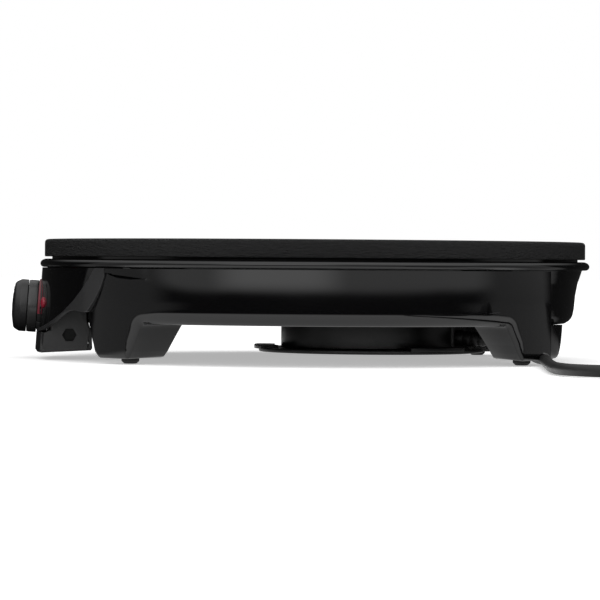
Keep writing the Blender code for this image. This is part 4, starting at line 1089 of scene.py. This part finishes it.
# --- CAD nodes that stay
CARRIED = {
    "steel": ["thermostat_bracket", *(part + hand for hand, _ in HANDS for part in (
        "element_terminal_", "element_clamp_", "clamp_screw_", "plug_pin_")),
        *(part + place for part in ("plate_stud_", "stud_screw_")
          for place in ("front_right", "rear", "front_left"))],
    "element": ["heating_element"],
    "aluminium": ["heat_shield"],
    "brass": ["sensor_capillary", "thermostat_spindle", "thermostat_bush", "adjusting_pin"],
    "ceramic": ["thermal_cutout", "thermostat_body", "terminal_block"],
    "lamp": ["neon_lamp"],
    "brown": ["wire_live", "wire_switched"],
    "blue": ["wire_neutral"],
    "green": ["wire_earth"],
    "cord": ["inner_cord"],
}
for surface, names in CARRIED.items():
    for name in names:
        for slot in NODES[name].material_slots:
            slot.material = MAT[surface]


# --- floor, world and lights
KEY_TURN = math.radians(20)  # how far the key light is from straight in front, to the left
DIM, FRONT_BOX, KEY_BOX, SIDE_LOW, SIDE_HIGH, OVERHEAD = 0.015, 0.75, 0.9, 0.26, 0.34, 0.8
FLOOR_GLOW = 0.35
# Soft edges of the floor's patches: metres, except the share of the distance that is sideways.
LIT_REACH = (0.4, 0.3)
LIT_FRONT = (0.0, -0.08)
LIT_SIDES = (0.16, 0.12)
SIDEWAYS = (0.8, 0.95)
BESIDE = (0.12, 0.18)
REAR_EDGE, REAR_SLANT = (0.0, -0.06), 0.3


def floor_patches(net, place):
    """Shares of the lit patch near the object, and of the even glow at its sides."""
    distance = net.node("VectorMath", {0: place}, operation="LENGTH").outputs["Value"]
    x, y, _ = net.node("SeparateXYZ", {0: place}).outputs
    across = net.math("ABSOLUTE", x)
    sideways = net.product(net.soft_step(net.math("DIVIDE", across, distance), *SIDEWAYS),
                           net.soft_step(across, *BESIDE))
    forward = net.math("MAXIMUM", net.soft_step(y, *LIT_FRONT), net.soft_step(across, *LIT_SIDES))
    near = net.product(net.soft_step(distance, *LIT_REACH), forward)
    near = net.product(near, net.math("SUBTRACT", 1, sideways))
    slant = net.product(net.math("SUBTRACT", across, LIT_SIDES[0]), REAR_SLANT)
    behind = net.math("SUBTRACT", y, slant)
    return near, net.product(sideways, net.soft_step(behind, *REAR_EDGE))


def make_floor():
    """Floor that the camera sees evenly white. The gloss sees it lit near the object, glowing at
    the sides, and dark behind the object and far away."""
    top, radius = -0.0002, 9.0
    floor = lathe("floor", [(0, top), (radius, top), (radius, -0.02), (0, -0.02)], 96,
                  Matrix.Identity(4))
    material, net = new_material("floor_white", (0.8, 0.8, 0.8), 0.9, **{
        "Specular IOR Level": 0.0, "Emission Color": (1, 1, 1, 1)})
    seen = net.node("LightPath").outputs["Is Camera Ray"]
    near, beside = floor_patches(net, net.node("TexCoord").outputs["Object"])
    tone = net.mix(seen, net.ramp(near, 0, 1, 0.02, 0.85), 0.88)
    glow = net.math("ADD", net.product(near, FLOOR_GLOW), net.product(beside, SIDE_LOW))
    grain = net.ramp(net.noise(net.place(), 40), 0, 1, 0.99, 1.01)
    grey = net.product(tone, grain)
    net.to("Base Color", net.node("CombineColor", {k: grey for k in range(3)}).outputs[0])
    net.to("Emission Strength", net.mix(seen, glow, 0.42))
    floor.data.materials.append(material)
    bpy.context.scene.collection.objects.link(floor)


def make_world():
    """Soft studio as a dome: overhead light, a box behind the camera with a brighter key in it,
    dim boxes at both sides, and a dark rear. The camera sees plain white."""
    world = bpy.data.worlds.new("studio")
    world.use_nodes = True
    bpy.context.scene.world = world
    net = Net(world.node_tree)
    background = net.tree.nodes["Background"]
    direction = net.node("TexCoord").outputs["Generated"]
    x, y, z = net.node("SeparateXYZ", {0: direction}).outputs
    flat = net.node("VectorMath", {0: net.node("CombineXYZ", {0: x, 1: y}).outputs[0]},
                    operation="NORMALIZE").outputs["Vector"]
    to_camera = net.dot(flat, (0, -1, 0))
    to_key = net.dot(flat, (-math.sin(KEY_TURN), -math.cos(KEY_TURN), 0))
    camera_side = net.soft_step(to_camera, 0.2, 0.45)
    rear = net.soft_step(to_camera, -0.26, -0.4)
    front_box = net.soft_step(z, 0.018, 0.05, DIM, FRONT_BOX)
    side_box = net.soft_step(z, -0.02, 0.1, SIDE_LOW, SIDE_HIGH)
    key = net.product(net.soft_step(to_key, 0.86, 0.985), net.soft_step(z, 0.02, 0.07))
    key = net.product(key, net.soft_step(z, 0.65, 0.4))
    light = net.mix(rear, net.mix(camera_side, side_box, front_box), DIM)
    light = net.math("ADD", light, net.product(key, KEY_BOX))
    light = net.math("ADD", light, net.soft_step(z, 0.25, 0.75, 0.0, OVERHEAD))
    seen = net.node("LightPath").outputs["Is Camera Ray"]
    net.tree.links.new(net.mix(seen, light, 1.0), background.inputs["Strength"])
    background.inputs["Color"].default_value = (1, 1, 1, 1)


make_floor()
make_world()
bpy.context.scene.view_settings.view_transform = "Standard"
